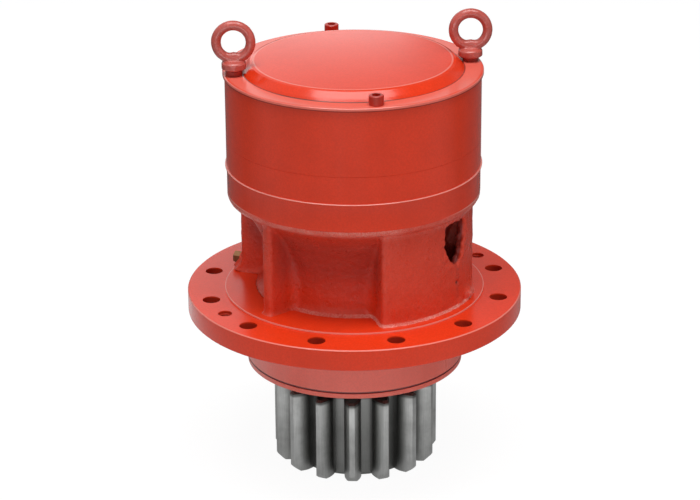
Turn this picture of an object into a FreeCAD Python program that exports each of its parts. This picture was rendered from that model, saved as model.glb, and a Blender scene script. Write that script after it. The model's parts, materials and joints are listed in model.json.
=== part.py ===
import FreeCAD, Part
import math
import os
import re
import Sketcher

# Swing reducer of an excavator: a two-stage planetary gearbox on a flanged casing.
# Millimetres. +Z runs up the gearbox axis, and the origin is the centre of the
# flange's mounting face. Turns are angles about +Z, counted from +X.

DEGREES = math.pi / 180

# depth of a tooth below its pitch circle, in modules
DEDENDUM = 1.25
# spline teeth per pitch, as wide as 1 / 2.4 at the tip and 1 / 1.8 at the root
SPLINE_TIP = 2.4
SPLINE_ROOT = 1.8
# the ragged window, as shares of its width and height
WINDOW_OUTLINE = [(-0.48, 1.0), (-0.50, 0.88), (-0.47, 0.50), (-0.36, 0.26), (-0.20, 0.12),
                  (0.12, 0.0), (0.30, 0.16), (0.42, 0.46), (0.50, 0.75), (0.46, 1.0)]
Vector = FreeCAD.Vector
UP = Vector(0, 0, 1)

SIZES = [
    # how far a cutter or a joined feature runs past the face it meets
    ("join", 1.0),
    # mounting flange and the pilot below it
    ("flange_r", 210.0),
    ("flange_thick", 27.0),
    ("flange_bevel", 1.2),
    ("flange_bolt_circle_r", 185.0),
    ("flange_bolt_hole_r", 11.0),
    ("flange_bolt_turn", -74.5),
    ("flange_bolts", 12),
    ("jack_hole_r", 8.75),
    ("jack_hole_turn", 30.5),
    ("foot_ring_r", 163.0),
    ("foot_ring_rise", 2.0),
    ("pilot_wall", 29.0),
    ("pilot_depth", 63.3),
    # neck, its ribs and the skin that closes one pocket
    ("neck_wall", 20.0),
    ("neck_height", 121.5),
    ("neck_fillet", 9.0),
    ("neck_scoop_high", 86.5),
    ("neck_lip", 8.5),
    ("ribs", 6),
    ("rib_root", 8.0),
    ("rib_reach", 40.0),
    ("rib_thick", 16.0),
    ("rib_corner", 4.5),
    ("rib_flare", 16.0),
    # the ribs seen in the photo stand 62 degrees apart, so the gap behind is narrower
    ("rib_turn", -198.2),
    ("rib_step", 62.0),
    ("skin_rib", 2),
    ("skin_thick", 12.0),
    ("window_turn", 56.5),
    ("window_low", 84.6),
    ("window_high", 140.0),
    ("window_width", 45.6),
    ("drain_turn", -204.0),
    ("drain_rise", 0.6),
    ("drain_boss_r", 10.0),
    ("drain_boss_reach", 46.0),
    ("drain_bore_r", 5.0),
    ("drain_bore_past", 12),
    ("plug_across", 14.0),
    ("plug_head", 9.5),
    ("plug_stem", 16.0),
    ("plug_washer_r", 8.6),
    ("plug_washer_thick", 1.5),
    # casing top, gear rings and their tie bolts
    ("case_top_thick", 44.0),
    ("case_in", 0.3),
    ("case_lip", 2.0),
    ("case_lip_high", 1.2),
    ("case_lip_taper", 6.0),
    ("case_edge", 0.4),
    ("case_round", 5.0),
    ("ring_web", 20.1),
    ("ring_rim", 4.1),
    ("tie_hole_r", 6.5),
    ("tie_bolts", 12),
    ("tie_turn", -64.5),
    ("tie_depth", 25.0),
    ("bottom_room", 2.0),
    ("tie_head_r", 9.0),
    ("tie_head_room", 1.0),
    ("tie_head_high", 12.0),
    ("screw_r", 5.95),
    ("screw_bevel", 0.8),
    ("tapped_r", 6.0),
    ("second_ring_high", 34.0),
    ("second_spigot", 20.0),
    ("spigot_wall", 11.5),
    ("spigot_gap", 0.1),
    ("spigot_room", 1.0),
    ("first_ring_high", 82.0),
    ("ring_relief", 3.5),
    ("ring_overlap", 1.0),
    ("ring_bevel", 0.3),
    ("ring_blank_depth", 2.5),
    # pressed top cover and what is screwed through it
    ("cover_thick", 4.5),
    ("cover_edge", 1.0),
    ("cover_overhang", 2.4),
    ("dome_foot_r", 136.4),
    ("dome_r", 122.2),
    ("dome_rise", 11.0),
    ("dome_toe_in", 0.2),
    ("dome_toe_up", 0.28),
    ("dome_shoulder_in", 0.72),
    ("dome_shoulder_up", 0.9),
    ("dome_crown", 2.0),
    ("cover_turn", -79.5),
    ("cover_hole_r", 6.6),
    ("cover_screw_long", 26.0),
    ("cap_head_r", 9.0),
    ("cap_head_high", 12.0),
    ("cap_socket_r", 5.0),
    ("cap_socket_deep", 6.0),
    ("eye_ring_r", 21.0),
    ("eye_wire_r", 6.0),
    ("eye_collar_r", 15.0),
    ("eye_collar_bevel", 2.8),
    ("eye_foot_in", 5.04),
    ("eye_shoulder_r", 9),
    ("eye_collar_high", 11.0),
    ("eye_collar_edge", 1.5),
    ("eye_collar_rise", 2.0),
    ("eye_height", 62.3),
    ("eye_thread", 28.0),
    ("flat_washer_r", 10.4),
    ("flat_washer_thick", 6.0),
    ("spring_washer_r", 9.8),
    ("spring_washer_thick", 3.5),
    # retainer plate and seal under the pilot
    ("retainer_thick", 7.1),
    ("retainer_in", 0.6),
    ("retainer_edge", 1.0),
    ("retainer_spigot", 13.3),
    ("retainer_screw_circle_r", 121.0),
    ("retainer_screws", 8),
    ("retainer_screw_r", 4.0),
    ("retainer_screw_head_r", 8.0),
    ("retainer_screw_head_high", 4.0),
    ("retainer_socket_r", 2.4),
    ("retainer_socket_deep", 2.4),
    ("retainer_screw_long", 24.0),
    ("screw_room", 0.4),
    ("o_ring_side", 3.0),
    ("o_ring_down", 4.0),
    ("o_ring_squeeze", 0.1),
    ("o_ring_room", 0.3),
    ("seal_r", 85.0),
    ("seal_wide", 13.0),
    ("seal_inset", 2.0),
    ("seal_shoulder", 6.0),
    ("seal_shell", 3.0),
    ("seal_lip", 3.0),
    ("seal_lip_heel", 4),
    ("seal_lip_low", 4.0),
    ("seal_lip_high", 9.0),
    # pinion shaft
    ("pinion_module", 12.0),
    ("pinion_teeth", 15),
    ("pinion_shift", 0.17),
    ("pinion_turn", -92.4),
    ("pinion_length", 111.0),
    ("pinion_drop", 22.0),
    ("pinion_bevel", 9.0),
    ("pinion_top_bevel", 3.0),
    ("pinion_end_bevel", 2.6),
    ("pinion_shoulder", 4.0),
    ("pinion_centre_r", 8.0),
    ("seal_land_r", 70.0),
    ("shaft_relief", 1.5),
    ("shaft_step", 2.0),
    ("shaft_end_gap", 0.6),
    ("shaft_spline_r", 45.0),
    ("shaft_spline_deep", 3.0),
    ("shaft_splines", 16),
    # tapered roller bearings
    ("lower_bore_r", 60.0),
    ("lower_outer_r", 107.5),
    ("lower_wide", 58.0),
    ("lower_roller_r", 11.2),
    ("lower_rollers", 18),
    ("upper_bore_r", 50.0),
    ("upper_outer_r", 90.0),
    ("upper_wide", 49.0),
    ("upper_roller_r", 9.2),
    ("upper_rollers", 18),
    ("race_tilt", 12.0),
    ("roller_taper", 2.0),
    ("roller_share", 0.64),
    ("roller_play", 0.04),
    ("roller_end_gap", 0.6),
    ("race_rib", 4.0),
    ("bearing_step", 8.0),
    ("bearing_lip", 3.0),
    ("spacer_long", 58.0),
    ("spacer_wall", 9.0),
    ("spacer_gap", 0.2),
    ("fit_gap", 0.04),
    # second stage, next to the output
    ("pressure_angle", 20.0),
    ("backlash", 0.3),
    ("planets", 3),
    ("second_module", 4.5),
    ("second_sun_teeth", 15),
    ("second_planet_teeth", 18),
    ("second_planet_wide", 48.0),
    ("second_hub_long", 34.0),
    ("second_hub_r", 62.0),
    ("second_hub_bevel", 6.0),
    ("second_plate_thick", 24.0),
    ("second_cap_thick", 12.0),
    ("second_pin_r", 16.0),
    ("second_pin_wall", 14.0),
    ("second_post_r", 19.0),
    ("second_post_inset", 2.0),
    ("second_bush_wall", 5.0),
    ("carrier_room", 18.0),
    ("washer_thick", 2.0),
    ("washer_wide", 8.0),
    ("washer_play", 0.3),
    ("running_gap", 0.05),
    ("sun_hole_room", 3.0),
    ("end_plate_thick", 9.0),
    ("end_plate_r", 55.0),
    ("end_plate_gap", 0.3),
    ("end_screw_circle_r", 28.0),
    ("end_screw_r", 5.0),
    ("end_screw_long", 26.0),
    ("end_screw_head_r", 8.0),
    ("end_screw_head_high", 5.0),
    ("end_screw_socket_r", 4.0),
    ("end_screw_socket_deep", 3.5),
    ("end_screw_seat", 5.4),
    ("carrier_ring_thick", 2.6),
    ("carrier_ring_r", 56.0),
    ("carrier_ring_wide", 12.0),
    ("carrier_ring_play", 0.4),
    # first stage, next to the motor
    ("first_module", 3.5),
    ("first_sun_teeth", 15),
    ("first_planet_teeth", 24),
    ("first_planet_wide", 32.0),
    ("first_plate_thick", 14.0),
    ("first_plate_bevel", 2.0),
    ("lightening_r", 13.2),
    ("lightening_in", 4.0),
    ("first_pin_r", 12.0),
    ("first_pin_wall", 11.0),
    ("first_pin_top", 3.6),
    ("first_bush_wall", 4.0),
    ("sun_shank_r", 24.0),
    ("sun_spline_deep", 2.4),
    ("sun_splines", 12),
    ("sun_bore_r", 9.0),
    ("sun_neck_gap", 0.4),
    ("sun_neck_join", 4.0),
    ("sun_side", 1.0),
    ("shank_end", 0.8),
    ("shank_gap", 0.5),
    ("snap_thick", 1.75),
    ("snap_deep", 1.2),
    ("snap_wide", 4.0),
    ("sun_snap_wide", 7.0),
    ("sun_snap_step", 0.2),
    ("snap_play", 0.05),
    ("button_r", 16.0),
    ("button_thick", 2.0),
    ("button_stem", 10.0),
    ("button_edge", 0.5),
    ("input_bore_r", 14.0),
    ("input_splines", 12),
    ("input_spline_deep", 2.0),
    ("input_top", 12.0),
    ("input_floor", 4.0),
    ("input_neck_r", 20.0),
]

PLACES = [
    # heights of the housing, from the flange's mounting face
    ("z_foot", "flange_thick + foot_ring_rise"),
    ("z_drain", "z_foot + plug_washer_r + drain_rise"),
    ("z_neck_top", "flange_thick + neck_height"),
    ("z_case_top", "z_neck_top + case_top_thick"),
    ("z_second_top", "z_case_top + second_ring_high"),
    ("z_first_top", "z_second_top + first_ring_high"),
    ("z_cover", "z_first_top + cover_thick"),
    ("z_spigot", "z_case_top - second_spigot"),
    ("z_scoop", "z_neck_top - neck_scoop_high"),
    ("z_pilot", "-pilot_depth"),
    ("z_retainer", "-pilot_depth - retainer_thick"),
    ("z_seal", "z_retainer + seal_inset"),
    ("z_pinion_top", "z_retainer - pinion_drop"),
    ("z_pinion_low", "z_pinion_top - pinion_length"),
    # bearings and the clamped stack on the shaft
    ("z_lower", "z_pilot + retainer_spigot"),
    ("z_lower_top", "z_lower + lower_wide"),
    ("z_upper", "z_lower_top + spacer_long"),
    ("z_upper_top", "z_upper + upper_wide"),
    ("z_plate", "z_upper_top + second_hub_long"),
    ("z_plate_top", "z_plate + second_plate_thick"),
    ("z_planet", "z_plate_top + washer_thick + washer_play"),
    ("z_planet_top", "z_planet + second_planet_wide"),
    ("z_cap", "z_planet_top + washer_play + washer_thick"),
    ("z_cap_top", "z_cap + second_cap_thick"),
    ("z_ledge", "z_plate_top - end_plate_thick"),
    ("z_shaft_top", "z_ledge - shaft_end_gap"),
    ("z_ring_gap", "z_cap_top + carrier_ring_thick"),
    ("z_first_plate", "z_ring_gap + carrier_ring_play"),
    ("z_first_plate_top", "z_first_plate + first_plate_thick"),
    ("z_shank_top", "z_first_plate_top + snap_thick + shank_end"),
    ("z_first", "z_shank_top + shank_gap"),
    ("z_first_gear_top", "z_first + first_planet_wide"),
    ("second_washer_thick", "washer_thick"),
    ("first_washer_thick", "z_first - washer_play - z_first_plate_top"),
    ("z_first_washer_top", "z_first_gear_top + washer_play + first_washer_thick"),
    ("z_button_top", "z_shank_top + button_thick"),
    ("z_input", "z_button_top + washer_play"),
    ("z_input_gear_top", "z_first_gear_top + sun_side"),
    ("z_input_top", "z_input_gear_top + input_top"),
    # radii
    ("neck_r", "upper_outer_r + neck_wall"),
    ("pilot_r", "lower_outer_r + pilot_wall"),
    ("retainer_r", "pilot_r - retainer_in"),
    ("rib_r", "neck_r + rib_reach"),
    ("second_ring_teeth", "second_sun_teeth + 2 * second_planet_teeth"),
    ("first_ring_teeth", "first_sun_teeth + 2 * first_planet_teeth"),
    ("second_centre", "second_module * (second_sun_teeth + second_planet_teeth) / 2"),
    ("first_centre", "first_module * (first_sun_teeth + first_planet_teeth) / 2"),
    ("second_root_r", "second_module * (second_ring_teeth / 2 + 1.25)"),
    ("first_root_r", "first_module * (first_ring_teeth / 2 + 1.25)"),
    ("tie_circle_r", "second_root_r + ring_web + tie_hole_r"),
    ("ring_r", "tie_circle_r + tie_hole_r + ring_rim"),
    ("case_r", "ring_r - case_in"),
    ("scoop_deep", "case_r - neck_lip - neck_r"),
    ("scoop_r", "(neck_scoop_high^2 + scoop_deep^2) / (2 * scoop_deep)"),
    ("cover_r", "ring_r + cover_overhang"),
    ("spigot_r", "second_root_r + spigot_wall"),
    ("second_plate_r", "second_centre + second_pin_r + second_pin_wall"),
    ("first_plate_r", "first_centre + first_pin_r + first_pin_wall"),
    ("cavity_r", "second_plate_r + carrier_room"),
    ("spacer_bore_r", "lower_bore_r + spacer_gap"),
    ("sun_hole_r", "second_module * (second_sun_teeth / 2 + 1) + sun_hole_room"),
]

for kind in ("lower", "upper"):
    PLACES += [
        (kind + "_pitch_r", "({0}_bore_r + {0}_outer_r) / 2".format(kind)),
        (kind + "_roller_half", "{0}_wide * roller_share / 2".format(kind)),
        (kind + "_inner_race_r", "{0}_pitch_r - ({0}_roller_r * cos(roller_taper) + roller_play)"
                                 " / cos(race_tilt - roller_taper)".format(kind)),
        (kind + "_outer_race_r", "{0}_pitch_r + ({0}_roller_r * cos(roller_taper) + roller_play)"
                                 " / cos(race_tilt + roller_taper)".format(kind)),
    ]

doc = FreeCAD.newDocument("swing_reducer")
sheet_of = {}


def fill_sheet(title, rows):
    """Make a sheet of named cells and remember which sheet holds each name."""
    sheet = doc.addObject("Spreadsheet::Sheet", title)
    for row, (alias, content) in enumerate(rows, start=1):
        sheet_of[alias] = title + "."
        cell = "B%d" % row
        sheet.set("A%d" % row, alias)
        sheet.set(cell, bound(content, "=") if isinstance(content, str) else str(content))
        sheet.setAlias(cell, alias)
    doc.recompute()
    return sheet


def bound(text, start=""):
    """Write an expression with the sheet's name before every size in it."""
    return start + re.sub(r"[a-z][a-z_0-9]*", lambda word: sheet_of.get(word.group(), "") + word.group(),
                          text)


sizes = fill_sheet("Sizes", SIZES)
places = fill_sheet("Places", PLACES)
sub_parts = []


def value(text):
    """The number that an expression stands for now."""
    return float(sizes.evalExpression(bound(text)))


def count(text):
    """The whole number that an expression stands for now."""
    return int(round(value(text)))


def keep(piece, label):
    """Give a finished piece its name and list it among the sub-parts."""
    piece.Label = label
    sub_parts.append(piece)
    return piece


# Sketches and features


def new_body(name):
    return doc.addObject("PartDesign::Body", name)


def new_sketch(body, name, plane, lift=None, turn=None, out=None):
    """A sketch on an origin plane of its body.

    lift raises an XY sketch, turn turns an XZ sketch about Z, and out moves it along its normal.
    """
    sketch = body.newObject("Sketcher::SketchObject", name)
    support = next(feature for feature in body.Origin.OriginFeatures if feature.Role == plane)
    sketch.AttachmentSupport = (support, [""])
    sketch.MapMode = "FlatFace"
    if lift is not None:
        sketch.setExpression("AttachmentOffset.Base.z", bound(lift))
    if turn is not None:
        spin = FreeCAD.Rotation(Vector(0, 1, 0), value(turn))
        sketch.AttachmentOffset = FreeCAD.Placement(Vector(), spin)
        sketch.setExpression("AttachmentOffset.Rotation.Angle", bound(turn))
    if out is not None:
        sketch.setExpression("AttachmentOffset.Base.x", bound("(%s) * sin(%s)" % (out, turn)))
        sketch.setExpression("AttachmentOffset.Base.z", bound("(%s) * cos(%s)" % (out, turn)))
    return sketch


def tie_point(sketch, geometry, end, x, y):
    """Hold one end of an edge at the x and y that two expressions give."""
    for kind, text in (("DistanceX", x), ("DistanceY", y)):
        index = sketch.addConstraint(Sketcher.Constraint(kind, -1, 1, geometry, end, value(text)))
        sketch.setExpression("Constraints[%d]" % index, bound(text))


def arc_between(start, end, radius, clockwise):
    """The short arc of a given radius from start to end."""
    chord = end.sub(start)
    half = chord.Length / 2
    rise = math.sqrt(max(radius * radius - half * half, 0))
    side = Vector(-chord.y, chord.x, 0).normalize()
    centre = (start + end) * 0.5 + side * (-rise if clockwise else rise)
    first = math.atan2(start.y - centre.y, start.x - centre.x)
    last = math.atan2(end.y - centre.y, end.x - centre.x)
    if clockwise:
        first, last = last, first
    return Part.ArcOfCircle(Part.Circle(centre, UP, radius), first, last)


def draw_outline(sketch, corners):
    """Draw a closed outline whose corners are pairs of expressions.

    A third item makes the edge to the next corner an arc of that radius, and a fourth
    item, True, makes that arc run clockwise.
    """
    points = [Vector(value(corner[0]), value(corner[1]), 0) for corner in corners]
    ends = []
    for index, corner in enumerate(corners):
        start = points[index]
        end = points[(index + 1) % len(points)]
        clockwise = len(corner) > 3 and corner[3]
        if len(corner) > 2:
            sketch.addGeometry(arc_between(start, end, value(corner[2]), clockwise), False)
            radius = sketch.addConstraint(Sketcher.Constraint("Radius", index, value(corner[2])))
            sketch.setExpression("Constraints[%d]" % radius, bound(corner[2]))
        else:
            sketch.addGeometry(Part.LineSegment(start, end), False)
        ends.append((2, 1) if clockwise else (1, 2))
    for index, corner in enumerate(corners):
        after = (index + 1) % len(corners)
        meet = Sketcher.Constraint("Coincident", index, ends[index][1], after, ends[after][0])
        sketch.addConstraint(meet)
        tie_point(sketch, index, ends[index][0], corner[0], corner[1])


def draw_circle(sketch, x, y, radius):
    """Draw a circle whose centre and radius are expressions."""
    circle = Part.Circle(Vector(value(x), value(y), 0), UP, value(radius))
    index = sketch.addGeometry(circle, False)
    tie_point(sketch, index, 3, x, y)
    tied = sketch.addConstraint(Sketcher.Constraint("Radius", index, value(radius)))
    sketch.setExpression("Constraints[%d]" % tied, bound(radius))


def revolve(body, name, corners, cut=False):
    """Turn an outline of radii and heights about the gearbox axis."""
    sketch = new_sketch(body, name + "_section", "XZ_Plane")
    draw_outline(sketch, corners)
    feature = body.newObject("PartDesign::Groove" if cut else "PartDesign::Revolution", name)
    feature.Profile = sketch
    feature.ReferenceAxis = (sketch, ["V_Axis"])
    feature.Angle = 360
    return feature


def pad(body, name, sketch, length):
    feature = body.newObject("PartDesign::Pad", name)
    feature.Profile = sketch
    feature.setExpression("Length", bound(length))
    return feature


def pocket(body, name, sketch, depth=None):
    """Cut a sketch downwards from its plane, right through when no depth is given."""
    feature = body.newObject("PartDesign::Pocket", name)
    feature.Profile = sketch
    if depth is None:
        feature.Type = "ThroughAll"
    else:
        feature.setExpression("Length", bound(depth))
    return feature


def repeat_round(body, name, features, copies, angle="360"):
    """Repeat features about the gearbox axis."""
    pattern = body.newObject("PartDesign::PolarPattern", name)
    pattern.Originals = features
    pattern.Axis = (features[0].Profile[0], ["N_Axis"])
    pattern.setExpression("Angle", bound(angle))
    pattern.setExpression("Occurrences", bound(copies))
    body.Tip = pattern
    return pattern


def hole_circle(body, name, radius, circle_r, turn, copies, top, depth=None):
    """Holes of one radius, evenly spaced on a circle, cut downwards from a height."""
    sketch = new_sketch(body, name + "_place", "XY_Plane", lift=top)
    draw_circle(sketch, "%s * cos(%s)" % (circle_r, turn), "%s * sin(%s)" % (circle_r, turn), radius)
    cut = pocket(body, name, sketch, depth)
    return repeat_round(body, name + "_pattern", [cut], copies)


def turned(label, corners):
    """A sub-part that is one turned outline."""
    body = new_body(label)
    revolve(body, label + "_turn", corners)
    return keep(body, label)


def ring(label, inner, outer, low, high):
    """A sub-part that is a plain ring with a square section."""
    return turned(label, [(inner, low), (outer, low), (outer, high), (inner, high)])


def placed_copies(label, piece, spots):
    """A sub-part that is a group of equal solids, each moved to its spot."""
    doc.recompute()
    solids = []
    for spot in spots:
        solid = piece.Shape.copy()
        solid.Placement = spot.multiply(solid.Placement)
        solids.append(solid)
    group = doc.addObject("Part::Feature", label)
    group.Shape = Part.makeCompound(solids)
    return keep(group, label)


def spots_round(copies, radius, turn, height=0.0):
    """Places evenly spaced on a circle, each turned to face outwards."""
    spots = []
    for index in range(copies):
        angle = turn + 360.0 * index / copies
        spin = FreeCAD.Rotation(UP, angle)
        spots.append(FreeCAD.Placement(spin.multVec(Vector(radius, 0, height)), spin))
    return spots


# Gear teeth


def involute(angle):
    return math.tan(angle) - angle


def polar(radius, angle):
    return Vector(radius * math.cos(angle), radius * math.sin(angle), 0)


def tooth_outline(module, teeth, shift, thinning, addendum, dedendum, turn):
    """The closed outline of a gear: radial feet, flanks that are arcs through three involute points."""
    pressure = value("pressure_angle") * DEGREES
    pitch_r = module * teeth / 2
    base_r = pitch_r * math.cos(pressure)
    tip_r = pitch_r + module * (addendum + shift)
    root_r = pitch_r - module * (dedendum - shift)
    half = math.pi / (2 * teeth) + 2 * shift * math.tan(pressure) / teeth - thinning / (4 * pitch_r)

    def half_angle(radius):
        unrolled = math.acos(min(base_r / radius, 1))
        return half + involute(pressure) - involute(unrolled)

    foot_r = max(base_r, root_r)
    flank = [foot_r, (foot_r + tip_r) / 2, tip_r]
    edges = []
    for tooth in range(teeth):
        centre = turn * DEGREES + 2 * math.pi * tooth / teeth
        after = centre + 2 * math.pi / teeth
        rising = [polar(radius, centre - half_angle(radius)) for radius in flank]
        falling = [polar(radius, centre + half_angle(radius)) for radius in reversed(flank)]
        root_low = polar(root_r, centre - half_angle(foot_r))
        root_high = polar(root_r, centre + half_angle(foot_r))
        next_low = polar(root_r, after - half_angle(foot_r))
        if root_r < foot_r:
            edges.append(Part.LineSegment(root_low, rising[0]).toShape())
        edges.append(Part.Arc(*rising).toShape())
        edges.append(Part.Arc(rising[2], polar(tip_r, centre), falling[0]).toShape())
        edges.append(Part.Arc(*falling).toShape())
        if root_r < foot_r:
            edges.append(Part.LineSegment(falling[2], root_high).toShape())
        edges.append(Part.Arc(root_high, polar(root_r, centre + math.pi / teeth), next_low).toShape())
    return Part.Wire(edges)


def teeth_between(wire, low, high):
    """The solid that a gear outline sweeps between two heights."""
    solid = Part.Face(wire).extrude(Vector(0, 0, high - low))
    solid.translate(Vector(0, 0, low))
    return solid


def outer_teeth(name, module, teeth, low, high, turn=0.0, shift=0.0, thinning=None):
    """A toothed blank as a document object."""
    if thinning is None:
        thinning = value("backlash")
    gear = doc.addObject("Part::Feature", name)
    gear.Shape = teeth_between(tooth_outline(module, teeth, shift, thinning, 1.0, DEDENDUM, turn), low, high)
    return gear


def inner_teeth(name, module, teeth, low, high, turn):
    """The cutter that leaves internal teeth in a ring."""
    cutter = doc.addObject("Part::Feature", name)
    outline = tooth_outline(module, teeth, 0.0, -value("backlash"), DEDENDUM, 1.0, turn)
    cutter.Shape = teeth_between(outline, low, high)
    return cutter


def spline_outline(outer_r, deep, splines, gap=0.0):
    """Straight-sided splines as a closed outline; gap opens it for the mating bore."""
    tip_r = outer_r + gap
    root_r = outer_r - deep + gap
    half_tip = math.pi / (SPLINE_TIP * splines) + gap / outer_r
    half_root = math.pi / (SPLINE_ROOT * splines) + gap / outer_r
    points = []
    for spline in range(splines):
        centre = 2 * math.pi * spline / splines
        points += [polar(root_r, centre - half_root), polar(tip_r, centre - half_tip)]
        points += [polar(tip_r, centre + half_tip), polar(root_r, centre + half_root)]
    return Part.makePolygon(points + points[:1])


def spline_piece(name, outer_r, deep, splines, low, high, gap=0.0):
    piece = doc.addObject("Part::Feature", name)
    piece.Shape = teeth_between(spline_outline(outer_r, deep, splines, gap), low, high)
    return piece


def plain_cylinder(name, radius, low, high):
    """A bar on the axis that a boolean uses."""
    bar = doc.addObject("Part::Cylinder", name)
    bar.setExpression("Radius", bound(radius))
    bar.setExpression("Height", bound("(%s) - (%s)" % (high, low)))
    bar.setExpression("Placement.Base.z", bound(low))
    return bar


def joined(label, pieces):
    """One solid from several that touch."""
    fuse = doc.addObject("Part::MultiFuse", label + "_body")
    fuse.Shapes = pieces
    fuse.Refine = True
    return fuse


def less(label, base, tools):
    """A base with one or more tools cut out of it."""
    result = base
    for index, tool in enumerate(tools):
        cut = doc.addObject("Part::Cut", "%s_cut_%d" % (label, index + 1))
        cut.Base = result
        cut.Tool = tool
        result = cut
    return result


# Housing


def make_casing():
    """Cast casing: pilot, mounting flange, ribbed neck and the flange that carries the gear rings."""
    body = new_body("casing")
    revolve(body, "casing_outside", [
        ("0", "z_pilot"),
        ("pilot_r", "z_pilot"),
        ("pilot_r", "0"),
        ("flange_r - flange_bevel", "0"),
        ("flange_r", "flange_bevel"),
        ("flange_r", "flange_thick - flange_bevel"),
        ("flange_r - flange_bevel", "flange_thick"),
        ("foot_ring_r", "flange_thick"),
        ("foot_ring_r", "z_foot"),
        ("neck_r + neck_fillet", "z_foot", "neck_fillet", True),
        ("neck_r", "z_foot + neck_fillet"),
        ("neck_r", "z_scoop", "scoop_r", True),
        ("case_r - neck_lip", "z_neck_top"),
        ("case_r - case_round", "z_neck_top", "case_round"),
        ("case_r", "z_neck_top + case_round"),
        ("case_r", "z_case_top - case_lip_high - case_lip_taper"),
        ("case_r + case_lip", "z_case_top - case_lip_high"),
        ("case_r + case_lip", "z_case_top - case_edge"),
        ("case_r + case_lip - case_edge", "z_case_top"),
        ("0", "z_case_top"),
    ])
    add_ribs(body)
    add_skin(body)
    add_drain_boss(body)
    revolve(body, "casing_inside", [
        ("0", "z_pilot"),
        ("lower_outer_r", "z_pilot"),
        ("lower_outer_r", "z_lower_top"),
        ("upper_outer_r - bearing_step", "z_lower_top"),
        ("upper_outer_r - bearing_step", "z_upper"),
        ("upper_outer_r", "z_upper"),
        ("upper_outer_r", "z_upper_top + bearing_lip"),
        ("upper_outer_r + bearing_step", "z_upper_top + bearing_lip"),
        ("cavity_r", "z_plate"),
        ("cavity_r", "z_spigot - spigot_room"),
        ("spigot_r + spigot_gap", "z_spigot - spigot_room"),
        ("spigot_r + spigot_gap", "z_case_top"),
        ("0", "z_case_top"),
    ], cut=True)
    hole_circle(body, "flange_holes", "flange_bolt_hole_r", "flange_bolt_circle_r", "flange_bolt_turn",
                "flange_bolts", "flange_thick", "flange_thick")
    hole_circle(body, "jack_holes", "jack_hole_r", "flange_bolt_circle_r", "jack_hole_turn",
                "2", "flange_thick", "flange_thick")
    hole_circle(body, "tie_threads", "tapped_r", "tie_circle_r", "tie_turn",
                "tie_bolts", "z_case_top", "tie_depth + bottom_room")
    retainer = new_sketch(body, "retainer_threads_place", "XY_Plane", lift="z_pilot")
    draw_circle(retainer, "retainer_screw_circle_r", "0", "retainer_screw_r")
    threads = pocket(body, "retainer_threads", retainer, "retainer_screw_long")
    threads.Reversed = True
    repeat_round(body, "retainer_threads_pattern", [threads], "retainer_screws")
    keep(body, "casing")


def add_ribs(body):
    """Ribs that stand on the neck, flared at the root and rounded at the tip."""
    flare_x = "sqrt((neck_r + rib_flare)^2 - (rib_thick / 2 + rib_flare)^2)"
    flare_y = "(rib_thick / 2 + rib_flare)"
    shrink = " * neck_r / (neck_r + rib_flare)"
    sketch = new_sketch(body, "rib_plan", "XY_Plane", lift="flange_thick")
    draw_outline(sketch, [
        (flare_x + shrink, "-" + flare_y + shrink, "rib_flare", True),
        (flare_x, "-rib_thick / 2"),
        ("rib_r - rib_corner", "-rib_thick / 2", "rib_corner"),
        ("rib_r", "-rib_thick / 2 + rib_corner"),
        ("rib_r", "rib_thick / 2 - rib_corner", "rib_corner"),
        ("rib_r - rib_corner", "rib_thick / 2"),
        (flare_x, "rib_thick / 2", "rib_flare", True),
        (flare_x + shrink, flare_y + shrink),
        ("neck_r - rib_root", "0"),
    ])
    sketch.setExpression("AttachmentOffset.Rotation.Angle", bound("rib_turn"))
    rib = pad(body, "rib", sketch, "neck_height + join")
    repeat_round(body, "rib_pattern", [rib], "ribs", "rib_step * (ribs - 1)")


def add_skin(body):
    """The skin that closes the pocket between two ribs, and the window left in it."""
    sketch = new_sketch(body, "skin_section", "XZ_Plane", turn="rib_turn + skin_rib * rib_step")
    draw_outline(sketch, [
        ("rib_r - skin_thick", "flange_thick"),
        ("rib_r", "flange_thick"),
        ("rib_r", "z_neck_top + join"),
        ("rib_r - skin_thick", "z_neck_top + join"),
    ])
    skin = body.newObject("PartDesign::Revolution", "skin")
    skin.Profile = sketch
    skin.ReferenceAxis = (sketch, ["V_Axis"])
    skin.setExpression("Angle", bound("rib_step"))
    opening = new_sketch(body, "window_outline", "XZ_Plane", turn="window_turn", out="rib_r + skin_thick")
    draw_outline(opening, [
        ("window_width * %g" % aside, "window_low + (window_high - window_low) * %g" % up)
        for aside, up in WINDOW_OUTLINE
    ])
    pocket(body, "window", opening, "3 * skin_thick")


def add_drain_boss(body):
    """A boss on the neck behind a rib, bored for the drain plug."""
    sketch = new_sketch(body, "drain_boss_outline", "XZ_Plane", turn="drain_turn + 90",
                        out="neck_r - neck_wall / 2")
    draw_circle(sketch, "0", "z_drain", "drain_boss_r")
    pad(body, "drain_boss", sketch, "drain_boss_reach + neck_wall / 2")
    bore = new_sketch(body, "drain_bore_outline", "XZ_Plane", turn="drain_turn + 90",
                      out="neck_r + drain_boss_reach")
    draw_circle(bore, "0", "z_drain", "drain_bore_r")
    pocket(body, "drain_bore", bore, "drain_boss_reach + neck_wall + drain_bore_past")


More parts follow.
